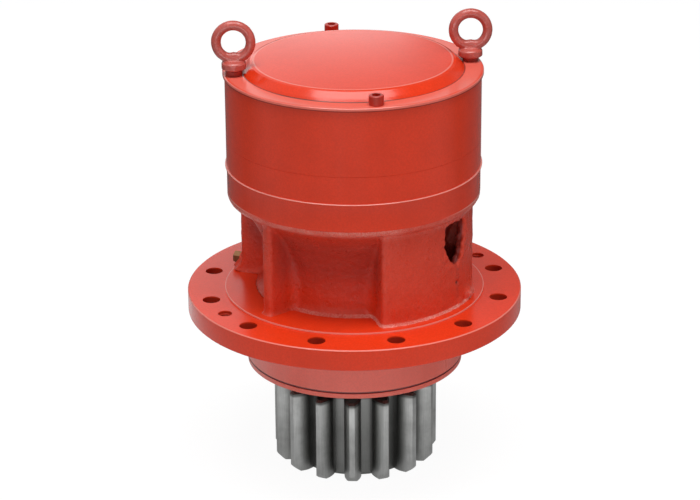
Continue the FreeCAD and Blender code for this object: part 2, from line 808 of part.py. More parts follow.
def make_drain_plug():
    """Hexagon plug and its sealing washer in the drain boss."""
    thick = value("plug_washer_thick")
    head_long = value("plug_head")
    stem_long = value("plug_stem")
    across = value("plug_across")
    out = FreeCAD.Rotation(UP, value("drain_turn"))
    face = out.multVec(Vector(value("neck_r + drain_boss_reach"), 0, value("z_drain")))
    seat = FreeCAD.Placement(face, out.multiply(FreeCAD.Rotation(Vector(0, 1, 0), 90)))
    washer = doc.addObject("Part::Feature", "drain_washer")
    washer.Shape = Part.makeCylinder(value("plug_washer_r"), thick).cut(
        Part.makeCylinder(value("drain_bore_r"), thick))
    washer.Placement = seat
    keep(washer, "drain_washer")
    corners = [polar(across / math.sqrt(3), 60 * side * DEGREES) for side in range(7)]
    head = Part.Face(Part.makePolygon(corners)).extrude(Vector(0, 0, head_long))
    head.translate(Vector(0, 0, thick))
    stem = Part.makeCylinder(value("drain_bore_r - fit_gap"), stem_long + thick, Vector(0, 0, -stem_long))
    plug = doc.addObject("Part::Feature", "drain_plug")
    plug.Shape = head.fuse(stem).removeSplitter()
    plug.Placement = seat
    keep(plug, "drain_plug")


def make_second_ring_gear():
    """Gear ring of the second stage, with the spigot that centres it in the casing."""
    blank = new_body("second_ring_blank")
    bore = "second_root_r - ring_blank_depth * second_module"
    revolve(blank, "second_ring_turn", [
        (bore, "z_spigot"),
        ("spigot_r", "z_spigot"),
        ("spigot_r", "z_case_top"),
        ("ring_r", "z_case_top"),
        ("ring_r", "z_second_top"),
        (bore, "z_second_top"),
    ])
    hole_circle(blank, "second_ring_holes", "tie_hole_r", "tie_circle_r", "tie_turn",
                "tie_bolts", "z_second_top", "second_ring_high")
    cutter = inner_teeth("second_ring_cutter", value("second_module"), count("second_ring_teeth"),
                         value("z_spigot - join"), value("z_second_top + join"), ring_turn("second"))
    keep(less("second_ring_gear", blank, [cutter]), "second_ring_gear")


def make_first_ring_gear():
    """Upper housing: gear ring of the first stage, tie bolt seats and the threads for the cover."""
    blank = new_body("first_ring_blank")
    bore = "first_root_r - ring_blank_depth * first_module"
    relief = "first_root_r + ring_relief"
    revolve(blank, "first_ring_turn", [
        (relief, "z_second_top"),
        ("ring_r - ring_bevel", "z_second_top"),
        ("ring_r", "z_second_top + ring_bevel"),
        ("ring_r", "z_first_top"),
        (relief, "z_first_top"),
        (relief, "z_first_gear_top + ring_overlap"),
        (bore, "z_first_gear_top + ring_overlap"),
        (bore, "z_first - ring_overlap"),
        (relief, "z_first - ring_overlap"),
    ])
    hole_circle(blank, "first_ring_holes", "tie_hole_r", "tie_circle_r", "tie_turn",
                "tie_bolts", "z_first_top", "first_ring_high")
    hole_circle(blank, "first_ring_seats", "tie_head_r + tie_head_room", "tie_circle_r", "tie_turn",
                "tie_bolts", "z_first_top", "tie_head_high + tie_head_room")
    hole_circle(blank, "cover_threads", "tapped_r", "tie_circle_r", "cover_turn",
                "4", "z_first_top", "cover_screw_long")
    cutter = inner_teeth("first_ring_cutter", value("first_module"), count("first_ring_teeth"),
                         value("z_first - ring_overlap - join"),
                         value("z_first_gear_top + ring_overlap + join"), ring_turn("first"))
    keep(less("first_ring_gear", blank, [cutter]), "first_ring_gear")


def make_cover():
    """Pressed cover with a low dome and a flat rim that overhangs the housing."""
    slope = "(dome_foot_r - dome_r)"
    body = new_body("top_cover")
    crown_r = "((dome_r)^2 + dome_crown^2) / (2 * dome_crown)"
    revolve(body, "cover_sheet", [
        ("0", "z_first_top + dome_rise + dome_crown"),
        ("dome_r - cover_thick", "z_first_top + dome_rise"),
        ("dome_foot_r - cover_thick", "z_first_top"),
        ("cover_r", "z_first_top"),
        ("cover_r", "z_cover - cover_edge"),
        ("cover_r - cover_edge", "z_cover"),
        ("dome_foot_r", "z_cover"),
        ("dome_foot_r - %s * dome_toe_in" % slope, "z_cover + dome_rise * dome_toe_up"),
        ("dome_foot_r - %s * dome_shoulder_in" % slope, "z_cover + dome_rise * dome_shoulder_up"),
        ("dome_r", "z_cover + dome_rise", crown_r),
        ("0", "z_cover + dome_rise + dome_crown"),
    ])
    hole_circle(body, "cover_holes", "cover_hole_r", "tie_circle_r", "cover_turn", "4",
                "z_cover", "cover_thick")
    keep(body, "top_cover")


def socket_screw(name, shank_r, shank_long, head_r, head_high, socket_r, socket_deep):
    """A cap screw standing on its head's seat at the origin, with a hexagon socket."""
    body = new_body(name)
    revolve(body, name + "_turn", [
        ("0", "-(%s)" % shank_long),
        (shank_r, "-(%s)" % shank_long),
        (shank_r, "0"),
        (head_r, "0"),
        (head_r, "%s - screw_bevel" % head_high),
        ("%s - screw_bevel" % head_r, head_high),
        ("0", head_high),
    ])
    sketch = new_sketch(body, name + "_hexagon", "XY_Plane", lift=head_high)
    corners = []
    for side in range(6):
        corners.append(("%s / cos(30) * cos(%d)" % (socket_r, 60 * side),
                        "%s / cos(30) * sin(%d)" % (socket_r, 60 * side)))
    draw_outline(sketch, corners)
    pocket(body, name + "_socket", sketch, socket_deep)
    return body


def make_fasteners():
    """Tie bolts through both gear rings, cap screws and eye bolts in the cover."""
    tie_long = "z_first_top - tie_head_high - tie_head_room - z_case_top + tie_depth"
    tie = socket_screw("tie_bolt_piece", "screw_r", tie_long, "tie_head_r", "tie_head_high",
                       "cap_socket_r", "cap_socket_deep")
    seat = value("z_first_top - tie_head_high - tie_head_room")
    placed_copies("tie_bolts", tie,
                  spots_round(count("tie_bolts"), value("tie_circle_r"), value("tie_turn"), seat))
    cap = socket_screw("cap_screw_piece", "screw_r", "cover_screw_long", "cap_head_r", "cap_head_high",
                       "cap_socket_r", "cap_socket_deep")
    placed_copies("cover_screws", cap,
                  spots_round(2, value("tie_circle_r"), value("cover_turn"), value("z_cover")))
    make_eye_bolts()


def make_eye_bolts():
    """Two eye bolts with their rings facing front, one on a flat washer and one on a spring washer."""
    turns = [value("cover_turn + 90"), value("cover_turn - 90")]
    washers = ["spring_washer", "flat_washer"]
    seats = []
    stacks = []
    for turn, washer in zip(turns, washers):
        seat = polar(value("tie_circle_r"), turn * DEGREES) + Vector(0, 0, value("z_cover"))
        thick = value(washer + "_thick")
        hole = Part.makeCylinder(value("tapped_r"), thick)
        stack = Part.makeCylinder(value(washer + "_r"), thick).cut(hole)
        stack.translate(seat)
        stacks.append(stack)
        seats.append(FreeCAD.Placement(seat + Vector(0, 0, thick), FreeCAD.Rotation()))
    placed_copies("eye_bolts", eye_bolt(), seats)
    group = doc.addObject("Part::Feature", "eye_bolt_washers")
    group.Shape = Part.makeCompound(stacks)
    keep(group, "eye_bolt_washers")


def eye_bolt():
    """A lifting eye bolt standing on its collar's seat at the origin, ring in the XZ plane."""
    body = new_body("eye_bolt_piece")
    middle = "(eye_height - eye_ring_r - eye_wire_r)"
    revolve(body, "eye_collar", [
        ("0", "-eye_thread"),
        ("screw_r", "-eye_thread"),
        ("screw_r", "0"),
        ("eye_collar_r - eye_foot_in", "0"),
        ("eye_collar_r", "eye_collar_bevel"),
        ("eye_collar_r", "eye_collar_high - eye_collar_edge"),
        ("eye_collar_r - eye_collar_edge", "eye_collar_high"),
        ("eye_shoulder_r", "eye_collar_high + eye_collar_rise"),
        ("0", "eye_collar_high + eye_collar_rise"),
    ])
    torus = body.newObject("PartDesign::AdditiveTorus", "eye_ring")
    torus.setExpression("Radius1", bound("eye_ring_r"))
    torus.setExpression("Radius2", bound("eye_wire_r"))
    support = next(feature for feature in body.Origin.OriginFeatures if feature.Role == "XZ_Plane")
    torus.AttachmentSupport = (support, [""])
    torus.MapMode = "FlatFace"
    torus.setExpression("AttachmentOffset.Base.y", bound(middle))
    return body


def make_retainer():
    """Plate under the pilot that holds the lower bearing up and carries the seal."""
    body = new_body("bearing_retainer")
    groove = "lower_outer_r - fit_gap"
    groove_low = "z_pilot + o_ring_down"
    groove_high = "z_pilot + o_ring_down + o_ring_side"
    revolve(body, "retainer_turn", [
        ("seal_r", "z_retainer"),
        ("retainer_r - retainer_edge", "z_retainer"),
        ("retainer_r", "z_retainer + retainer_edge"),
        ("retainer_r", "z_pilot - retainer_edge"),
        ("retainer_r - retainer_edge", "z_pilot"),
        (groove, "z_pilot"),
        (groove, groove_low),
        (groove + " - o_ring_side", groove_low),
        (groove + " - o_ring_side", groove_high),
        (groove, groove_high),
        (groove, "z_lower"),
        ("seal_r + seal_shoulder", "z_lower"),
        ("seal_r + seal_shoulder", "z_seal + seal_wide"),
        ("seal_r", "z_seal + seal_wide"),
    ])
    sketch = new_sketch(body, "retainer_hole_place", "XY_Plane", lift="z_pilot")
    draw_circle(sketch, "retainer_screw_circle_r", "0", "retainer_screw_r + screw_room")
    hole = pocket(body, "retainer_hole", sketch, "retainer_thick")
    seat_deep = "(retainer_screw_head_high + screw_room)"
    seat_sketch = new_sketch(body, "retainer_seat_place", "XY_Plane", lift="z_retainer + " + seat_deep)
    draw_circle(seat_sketch, "retainer_screw_circle_r", "0", "retainer_screw_head_r + screw_room")
    seat = pocket(body, "retainer_seat", seat_sketch, seat_deep)
    repeat_round(body, "retainer_holes", [hole, seat], "retainer_screws")
    keep(body, "bearing_retainer")
    screw = socket_screw("retainer_screw_piece", "retainer_screw_r - fit_gap",
                         "retainer_thick - %s + retainer_screw_long - bottom_room" % seat_deep,
                         "retainer_screw_head_r", "retainer_screw_head_high", "retainer_socket_r",
                         "retainer_socket_deep")
    over = FreeCAD.Rotation(Vector(1, 0, 0), 180)
    spots = spots_round(count("retainer_screws"), value("retainer_screw_circle_r"), 0.0,
                        value("z_retainer + " + seat_deep))
    for spot in spots:
        spot.Rotation = spot.Rotation.multiply(over)
    placed_copies("retainer_screws", screw, spots)
    ring("retainer_seal_ring", groove + " - o_ring_side + o_ring_room", "lower_outer_r",
         groove_low + " + o_ring_squeeze", groove_high + " - o_ring_squeeze")
    make_oil_seal()


def make_oil_seal():
    """Lip seal on the shaft, pressed into the retainer."""
    turned("oil_seal", [
        ("seal_land_r + running_gap", "z_seal + seal_lip_low"),
        ("seal_land_r + seal_lip", "z_seal"),
        ("seal_r - fit_gap", "z_seal"),
        ("seal_r - fit_gap", "z_seal + seal_wide"),
        ("seal_r - seal_shell", "z_seal + seal_wide"),
        ("seal_r - seal_shell", "z_seal + seal_lip_low"),
        ("seal_land_r + seal_lip_heel", "z_seal + seal_lip_low"),
        ("seal_land_r + seal_lip", "z_seal + seal_lip_high"),
        ("seal_land_r + running_gap", "z_seal + seal_lip_high"),
    ])


# Bearings


def tapered_bearing(kind, low, apex):
    """Inner ring, outer ring and rollers; apex is 1 when the races narrow upwards and -1 downwards."""
    middle = "(%s + %s_wide / 2)" % (low, kind)
    top = "(%s + %s_wide)" % (low, kind)
    bore = kind + "_bore_r"
    outer = kind + "_outer_r"
    half = kind + "_roller_half"
    inner_slope = "tan(race_tilt - roller_taper) * %d" % -apex
    outer_slope = "tan(race_tilt + roller_taper) * %d" % -apex

    def inner_race(height):
        return "%s_inner_race_r + (%s - %s) * %s" % (kind, height, middle, inner_slope)

    def outer_race(height):
        return "%s_outer_race_r + (%s - %s) * %s" % (kind, height, middle, outer_slope)

    drop = "(%s + %s_roller_r * sin(race_tilt) + roller_end_gap)" % (half, kind)
    big_end = low if apex > 0 else top
    rib_face = "(%s - %s * %d)" % (middle, drop, apex)
    rib_r = "(%s + race_rib)" % inner_race(rib_face)
    corners = [(bore, big_end), (rib_r, big_end), (rib_r, rib_face), (inner_race(rib_face), rib_face)]
    small_end = top if apex > 0 else low
    corners += [(inner_race(small_end), small_end), (bore, small_end)]
    turned(kind + "_bearing_inner_ring", corners)
    turned(kind + "_bearing_outer_ring", [
        (outer, low),
        (outer, top),
        (outer_race(top), top),
        (outer_race(low), low),
    ])
    make_rollers(kind, value(middle), apex)


def make_rollers(kind, middle, apex):
    """Tapered rollers between the races, as one group."""
    half = value(kind + "_roller_half")
    radius = value(kind + "_roller_r")
    spread = half * math.tan(value("roller_taper") * DEGREES)
    piece = doc.addObject("Part::Feature", kind + "_roller_piece")
    piece.Shape = Part.makeCone(radius + spread, radius - spread, 2 * half, Vector(0, 0, -half))
    lean = FreeCAD.Rotation(Vector(0, 1, 0), -value("race_tilt"))
    if apex < 0:
        lean = FreeCAD.Rotation(Vector(1, 0, 0), 180).multiply(lean)
    spots = spots_round(count(kind + "_rollers"), value(kind + "_pitch_r"), 0.0, middle)
    for spot in spots:
        spot.Rotation = spot.Rotation.multiply(lean)
    placed_copies(kind + "_bearing_rollers", piece, spots)


# Output shaft and second stage


def make_pinion_shaft():
    """Pinion, seal land, bearing seats and splined end in one forging."""
    core = new_body("pinion_core")
    core_r = "pinion_module * (pinion_teeth / 2 + pinion_shift - %g) - join" % DEDENDUM
    relief_r = "lower_bore_r - shaft_relief"
    end_r = "shaft_spline_r - shaft_spline_deep - join"
    revolve(core, "pinion_core_turn", [
        ("0", "z_pinion_low"),
        (core_r, "z_pinion_low"),
        (core_r, "z_pinion_top"),
        ("seal_land_r", "z_pinion_top + pinion_shoulder"),
        ("seal_land_r", "z_lower"),
        ("lower_bore_r", "z_lower"),
        ("lower_bore_r", "z_lower_top"),
        (relief_r, "z_lower_top"),
        (relief_r, "z_upper - shaft_step"),
        ("upper_bore_r", "z_upper - shaft_step"),
        ("upper_bore_r", "z_upper_top - join"),
        (end_r, "z_upper_top - join"),
        (end_r, "z_shaft_top"),
        ("0", "z_shaft_top"),
    ])
    bevelled = doc.addObject("Part::Common", "pinion_bevelled")
    bevelled.Base = pinion_teeth_blank()
    bevelled.Tool = pinion_envelope()
    centre = new_body("pinion_centre")
    revolve(centre, "pinion_centre_turn", [
        ("0", "z_pinion_low - join"),
        ("pinion_centre_r + join", "z_pinion_low - join"),
        ("0", "z_pinion_low + pinion_centre_r"),
    ])
    spline = spline_piece("shaft_spline_blank", value("shaft_spline_r"), value("shaft_spline_deep"),
                          count("shaft_splines"), value("z_upper_top - join"), value("z_shaft_top"))
    threads = doc.addObject("Part::Feature", "shaft_thread_cutters")
    bars = []
    for spot in spots_round(3, value("end_screw_circle_r"), 0.0, value("z_shaft_top - end_screw_long")):
        bars.append(Part.makeCylinder(value("end_screw_r"), value("end_screw_long"), spot.Base))
    threads.Shape = Part.makeCompound(bars)
    whole = joined("pinion_shaft", [core, bevelled, spline])
    keep(less("pinion_shaft", whole, [centre, threads]), "pinion_shaft")


def pinion_teeth_blank():
    """The pinion's teeth as a ruled solid through four outlines, slimmer at both end faces."""
    module = value("pinion_module")
    teeth = count("pinion_teeth")
    shift = value("pinion_shift")
    turn = value("pinion_turn")
    bevel = value("pinion_end_bevel")
    low = value("z_pinion_low")
    high = value("z_pinion_top")
    full = tooth_outline(module, teeth, shift, value("backlash"), 1.0, DEDENDUM, turn)
    slim = tooth_outline(module, teeth, shift, value("backlash") + 4 * bevel, 1.0 - bevel / module,
                         DEDENDUM + bevel / module, turn)
    sections = []
    for outline, height in ((slim, low), (full, low + bevel), (full, high - bevel), (slim, high)):
        section = outline.copy()
        section.translate(Vector(0, 0, height))
        sections.append(section)
    gear = doc.addObject("Part::Feature", "pinion_teeth_blank")
    gear.Shape = Part.makeLoft(sections, True, True)
    return gear


def pinion_envelope():
    """The turned form that the pinion's tooth tips are bevelled to."""
    body = new_body("pinion_bevels")
    tip_r = "pinion_module * (pinion_teeth / 2 + pinion_shift + 1)"
    revolve(body, "pinion_bevel_turn", [
        ("0", "z_pinion_low"),
        (tip_r + " - pinion_bevel", "z_pinion_low"),
        (tip_r + " + join", "z_pinion_low + pinion_bevel + join"),
        (tip_r + " + join", "z_pinion_top - pinion_top_bevel - join"),
        (tip_r + " - pinion_top_bevel", "z_pinion_top"),
        ("0", "z_pinion_top"),
    ])
    return body


def planet_turns(stage):
    """Angles of the planets about the axis, as close to even as the teeth allow."""
    step = 360.0 / (count(stage + "_sun_teeth") + count(stage + "_ring_teeth"))
    planets = count("planets")
    return [round(360.0 * index / planets / step) * step for index in range(planets)]


def planet_spin(stage, turn):
    """Turn of a planet's first tooth that meshes it with a sun whose first tooth is on +X."""
    suns = count(stage + "_sun_teeth")
    teeth = count(stage + "_planet_teeth")
    return turn + 180.0 + turn * suns / teeth + 180.0 / teeth


def ring_turn(stage):
    """Turn of the gear ring's first tooth space that meshes it with the planet on +X."""
    teeth = count(stage + "_planet_teeth")
    rings = count(stage + "_ring_teeth")
    pitch = 360.0 / teeth
    offset = planet_spin(stage, 0.0) % pitch
    return offset * teeth / rings


def make_second_carrier():
    """Carrier with a splined hub, three posts and a cap plate that holds the planet pins at both ends."""
    body = new_body("second_carrier_body")
    revolve(body, "second_carrier_plate", [
        ("shaft_spline_r - shaft_spline_deep", "z_upper_top"),
        ("second_hub_r", "z_upper_top"),
        ("second_hub_r", "z_plate - second_hub_bevel"),
        ("second_hub_r + second_hub_bevel", "z_plate"),
        ("second_plate_r", "z_plate"),
        ("second_plate_r", "z_plate_top"),
        ("end_plate_r + end_plate_gap", "z_plate_top"),
        ("end_plate_r + end_plate_gap", "z_ledge"),
        ("shaft_spline_r - shaft_spline_deep", "z_ledge"),
    ])
    posts = new_sketch(body, "second_post_place", "XY_Plane", lift="z_plate_top - join")
    reach = "(second_plate_r - second_post_r - second_post_inset)"
    draw_circle(posts, reach + " * cos(180 / planets)", reach + " * sin(180 / planets)", "second_post_r")
    post = pad(body, "second_post", posts, "z_cap - z_plate_top + 2 * join")
    repeat_round(body, "second_posts", [post], "planets")
    cap = new_sketch(body, "second_cap_outline", "XY_Plane", lift="z_cap")
    draw_circle(cap, "0", "0", "second_plate_r")
    draw_circle(cap, "0", "0", "sun_hole_r")
    pad(body, "second_cap", cap, "second_cap_thick")
    hole_circle(body, "second_pin_holes", "second_pin_r", "second_centre", "0", "planets",
                "z_cap_top", "z_cap_top - z_plate + join")
    gap = value("fit_gap")
    bore = spline_piece("second_carrier_spline", value("shaft_spline_r"), value("shaft_spline_deep"),
                        count("shaft_splines"), value("z_upper_top - join"), value("z_ledge + join"), gap)
    keep(less("second_carrier", body, [bore]), "second_carrier")


def make_shaft_end():
    """End plate and screws that clamp the carrier on the shaft, and the ring between the carriers."""
    body = new_body("shaft_end_plate")
    revolve(body, "end_plate_turn", [
        ("0", "z_ledge"),
        ("end_plate_r", "z_ledge"),
        ("end_plate_r", "z_plate_top"),
        ("0", "z_plate_top"),
    ])
    hole_circle(body, "end_plate_holes", "end_screw_r + screw_room", "end_screw_circle_r", "0", "3",
                "z_plate_top", "end_plate_thick")
    hole_circle(body, "end_plate_seats", "end_screw_head_r + screw_room", "end_screw_circle_r", "0", "3",
                "z_plate_top", "end_screw_seat")
    keep(body, "shaft_end_plate")
    screw = socket_screw("end_screw_piece", "end_screw_r - fit_gap",
                         "end_plate_thick - end_screw_seat + end_screw_long - bottom_room",
                         "end_screw_head_r", "end_screw_head_high", "end_screw_socket_r",
                         "end_screw_socket_deep")
    seat = value("z_plate_top - end_screw_seat")
    placed_copies("end_plate_screws", screw, spots_round(3, value("end_screw_circle_r"), 0.0, seat))
    ring("carrier_thrust_ring", "carrier_ring_r", "carrier_ring_r + carrier_ring_wide",
         "z_cap_top", "z_ring_gap")


def make_planets(stage, low, pin_low, pin_high):
    """Planet gears with their bushes, pins and thrust washers for one stage."""
    module = value(stage + "_module")
    teeth = count(stage + "_planet_teeth")
    centre_r = value(stage + "_centre")
    wide = stage + "_planet_wide"
    pin_r = stage + "_pin_r"
    bush_r = "%s_pin_r + running_gap + %s_bush_wall" % (stage, stage)
    spots = []
    for turn in planet_turns(stage):
        spots.append(FreeCAD.Placement(polar(centre_r, turn * DEGREES), FreeCAD.Rotation()))
    bush = ring_piece(stage + "_bush_piece", pin_r + " + running_gap", bush_r,
                      low, "(%s) + (%s)" % (low, wide))
    blank = plain_cylinder(stage + "_planet_bore", bush_r,
                           "%s - join" % low, "%s + %s + join" % (low, wide))
    for index, turn in enumerate(planet_turns(stage)):
        letter = chr(ord("a") + index)
        gear = outer_teeth("%s_planet_teeth_%s" % (stage, letter), module, teeth,
                           value(low), value(low + " + " + wide), planet_spin(stage, turn))
        bored = less("%s_planet_%s" % (stage, letter), gear, [blank])
        doc.recompute()
        placed_copies("%s_planet_%s" % (stage, letter), bored, [spots[index]])
        placed_copies("%s_planet_bush_%s" % (stage, letter), bush, [spots[index]])
    pin = doc.addObject("Part::Cylinder", stage + "_pin_piece")
    pin.setExpression("Radius", bound(pin_r + " - fit_gap"))
    pin.setExpression("Height", bound("(%s) - (%s)" % (pin_high, pin_low)))
    pin.setExpression("Placement.Base.z", bound(pin_low))
    if stage == "first":
        pin = grooved_pin(pin)
    placed_copies(stage + "_planet_pins", pin, spots)
    washer = ring_piece(stage + "_washer_piece", pin_r + " + running_gap", pin_r + " + washer_wide",
                        "%s - washer_play - %s_washer_thick" % (low, stage), "%s - washer_play" % low)
    upper = value("%s_washer_thick + 2 * washer_play + %s" % (stage, wide))
    stacked = []
    for spot in spots:
        stacked.append(spot)
        stacked.append(FreeCAD.Placement(spot.Base + Vector(0, 0, upper), spot.Rotation))
    placed_copies(stage + "_thrust_washers", washer, stacked)


def ring_piece(name, inner, outer, low, high):
    """A plain ring on the axis that is copied to several places."""
    body = new_body(name)
    revolve(body, name + "_turn", [(inner, low), (outer, low), (outer, high), (inner, high)])
    return body


def grooved_pin(pin):
    """Cut the snap ring's groove near the top of a first-stage pin."""
    groove = ring_piece("first_pin_groove", "first_pin_r - snap_deep", "first_pin_r + join",
                        "z_first_washer_top + snap_play", "z_first_washer_top + 3 * snap_play + snap_thick")
    return less("first_pin", pin, [groove])


# First stage


def make_first_carrier():
    """Plate that carries the first-stage pins and drives the second sun through its splines."""
    body = new_body("first_carrier_body")
    revolve(body, "first_carrier_turn", [
        ("sun_shank_r - sun_spline_deep", "z_first_plate"),
        ("first_plate_r - first_plate_bevel", "z_first_plate"),
        ("first_plate_r", "z_first_plate + first_plate_bevel"),
        ("first_plate_r", "z_first_plate_top - first_plate_bevel"),
        ("first_plate_r - first_plate_bevel", "z_first_plate_top"),
        ("sun_shank_r - sun_spline_deep", "z_first_plate_top"),
    ])
    hole_circle(body, "first_pin_holes", "first_pin_r", "first_centre", "0", "planets",
                "z_first_plate_top", "first_plate_thick")
    hole_circle(body, "first_lightening", "lightening_r", "(first_centre - lightening_in)",
                "180 / planets", "planets", "z_first_plate_top", "first_plate_thick")
    bore = spline_piece("first_carrier_spline", value("sun_shank_r"), value("sun_spline_deep"),
                        count("sun_splines"), value("z_first_plate - join"),
                        value("z_first_plate_top + join"), value("fit_gap"))
    keep(less("first_carrier", body, [bore]), "first_carrier")


def make_second_sun():
    """Second sun gear: teeth below, splined shank in the first carrier, snap rings either side."""
    gear = outer_teeth("second_sun_teeth_blank", value("second_module"), count("second_sun_teeth"),
                       value("z_planet - sun_side"), value("z_planet_top + sun_side"))
    neck_r = "sun_shank_r - sun_spline_deep - sun_neck_gap"
    core = new_body("second_sun_core")
    revolve(core, "second_sun_turn", [
        ("0", "z_planet_top - sun_neck_join"),
        (neck_r, "z_planet_top - sun_neck_join"),
        (neck_r, "z_shank_top"),
        ("0", "z_shank_top"),
    ])
    spline = spline_piece("second_sun_spline", value("sun_shank_r"), value("sun_spline_deep"),
                          count("sun_splines"), value("z_planet_top + sun_side"), value("z_shank_top"))
    bore = plain_cylinder("second_sun_bore", "sun_bore_r", "z_shank_top - button_stem - bottom_room",
                          "z_shank_top + join")
    groove_r = "sun_shank_r - sun_spline_deep - snap_deep - sun_snap_step"
    grooves = []
    edges = ("z_first_plate - snap_thick - 3 * snap_play", "z_first_plate_top + snap_play")
    for index, edge in enumerate(edges):
        grooves.append(ring_piece("sun_groove_%d" % (index + 1), groove_r, "sun_shank_r + join",
                                  edge, edge + " + snap_thick + 2 * snap_play"))
    whole = joined("second_sun_gear", [gear, core, spline])
    keep(less("second_sun_gear", whole, [bore] + grooves), "second_sun_gear")
    turned("thrust_button", [
        ("0", "z_shank_top - button_stem"),
        ("sun_bore_r - fit_gap", "z_shank_top - button_stem"),
        ("sun_bore_r - fit_gap", "z_shank_top"),
        ("button_r", "z_shank_top"),
        ("button_r", "z_button_top - button_edge"),
        ("button_r - button_edge", "z_button_top"),
        ("0", "z_button_top"),
    ])
    low = value("z_first_plate - snap_thick - 2 * snap_play")
    high = value("z_first_plate_top + 2 * snap_play")
    inner = value(groove_r + " + fit_gap")
    spots = [FreeCAD.Placement(Vector(0, 0, height), FreeCAD.Rotation()) for height in (low, high)]
    make_snap_rings("sun_snap_rings", inner, inner + value("sun_snap_wide"), spots)


def make_snap_rings(label, inner, outer, spots):
    """Open snap rings, each with a gap to spread it by."""
    thick = value("snap_thick")
    ring_shape = Part.makeCylinder(outer, thick).cut(Part.makeCylinder(inner, thick))
    gap = inner * 0.5
    slot = Part.makeBox(outer + 1, gap, thick + 2, Vector(0, -gap / 2, -1))
    piece = doc.addObject("Part::Feature", label + "_piece")
    piece.Shape = ring_shape.cut(slot)
    placed_copies(label, piece, spots)


def make_first_sun():
    """First sun gear, with the splined socket that takes the motor's shaft."""
    gear = outer_teeth("first_sun_teeth_blank", value("first_module"), count("first_sun_teeth"),
                       value("z_input"), value("z_input_gear_top"))
    neck = plain_cylinder("first_sun_neck", "input_neck_r", "z_input + join", "z_input_top")
    whole = joined("first_sun_gear", [gear, neck])
    socket = spline_piece("input_socket", value("input_bore_r"), value("input_spline_deep"),
                          count("input_splines"), value("z_input + input_floor"),
                          value("z_input_top + join"))
    keep(less("first_sun_gear", whole, [socket]), "first_sun_gear")


def make_first_pin_rings():
    """Snap rings that hold the first-stage washers down on their pins."""
    inner = value("first_pin_r - snap_deep + fit_gap")
    spots = []
    for turn in planet_turns("first"):
        place = polar(value("first_centre"), turn * DEGREES)
        place.z = value("z_first_washer_top + 2 * snap_play")
        spots.append(FreeCAD.Placement(place, FreeCAD.Rotation(UP, turn)))
    make_snap_rings("first_pin_snap_rings", inner, inner + value("snap_wide"), spots)


make_casing()
make_drain_plug()
make_second_ring_gear()
make_first_ring_gear()
make_cover()
make_fasteners()
make_retainer()
tapered_bearing("lower", "z_lower", 1)
tapered_bearing("upper", "z_upper", -1)
ring("bearing_spacer", "spacer_bore_r", "spacer_bore_r + spacer_wall", "z_lower_top", "z_upper")
make_pinion_shaft()
make_second_carrier()
make_shaft_end()
make_planets("second", "z_planet", "z_plate", "z_cap_top")
make_first_carrier()
make_second_sun()
make_planets("first", "z_first", "z_first_plate", "z_first_washer_top + first_pin_top")
make_first_pin_rings()
make_first_sun()

doc.recompute()

for item in doc.Objects:
    if "Invalid" in item.State or "Error" in item.State:
        raise RuntimeError("failed object: %s %s" % (item.Label, item.State))

os.makedirs("parts", exist_ok=True)
for piece in sub_parts:
    if piece.Shape.isNull() or not piece.Shape.isValid():
        raise RuntimeError("bad shape: %s" % piece.Label)
    piece.Shape.exportStep("parts/%s.step" % piece.Label)
    print("%-28s solids %2d  faces %4d  volume %12.1f" % (
        piece.Label, len(piece.Shape.Solids), len(piece.Shape.Faces), piece.Shape.Volume))
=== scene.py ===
import json
import math

import bmesh
import bpy
import numpy as np
from mathutils import Matrix, Vector, noise


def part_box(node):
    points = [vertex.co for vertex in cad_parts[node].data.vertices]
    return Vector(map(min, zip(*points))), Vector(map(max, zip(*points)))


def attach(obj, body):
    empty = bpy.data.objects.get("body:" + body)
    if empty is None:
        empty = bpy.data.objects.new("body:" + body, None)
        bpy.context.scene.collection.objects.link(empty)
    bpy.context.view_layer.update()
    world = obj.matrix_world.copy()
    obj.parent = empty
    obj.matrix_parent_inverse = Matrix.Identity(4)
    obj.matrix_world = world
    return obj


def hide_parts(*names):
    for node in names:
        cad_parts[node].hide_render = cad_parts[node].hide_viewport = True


# Swing reducer: finish of every piece, the rough casting, the forged eyes and the studio.
# Metres, +Z up the gearbox axis, origin at the centre of the flange's mounting face.

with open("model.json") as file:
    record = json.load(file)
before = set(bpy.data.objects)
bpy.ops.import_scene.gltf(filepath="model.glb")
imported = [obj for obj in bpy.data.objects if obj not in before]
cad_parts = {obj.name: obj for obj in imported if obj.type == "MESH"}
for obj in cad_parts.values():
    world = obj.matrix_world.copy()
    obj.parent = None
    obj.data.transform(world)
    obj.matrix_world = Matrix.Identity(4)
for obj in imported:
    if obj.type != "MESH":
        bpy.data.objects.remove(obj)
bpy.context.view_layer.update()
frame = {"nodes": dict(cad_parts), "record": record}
nodes = frame["nodes"]
MM = 0.001

# the object stands on the end of its pinion
FLOOR_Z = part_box("pinion_shaft")[0].z


# Shader node helpers


def new_material(name):
    """A material with only its output and its principled shader."""
    material = bpy.data.materials.new(name)
    material.use_nodes = True
    tree = material.node_tree
    shader = tree.nodes["Principled BSDF"]
    return material, tree, shader


def add(tree, kind, **sockets):
    """A node with some of its inputs set by name, spaces written as underscores."""
    node = tree.nodes.new(kind)
    for name, setting in sockets.items():
        node.inputs[name.replace("_", " ")].default_value = setting
    return node


def place_of(tree, scale=(1.0, 1.0, 1.0)):
    """Object coordinates in metres, multiplied by a scale."""
    coordinates = tree.nodes.new("ShaderNodeTexCoord")
    mapping = tree.nodes.new("ShaderNodeMapping")
    mapping.inputs["Scale"].default_value = scale
    tree.links.new(coordinates.outputs["Object"], mapping.inputs["Vector"])
    return mapping.outputs["Vector"]


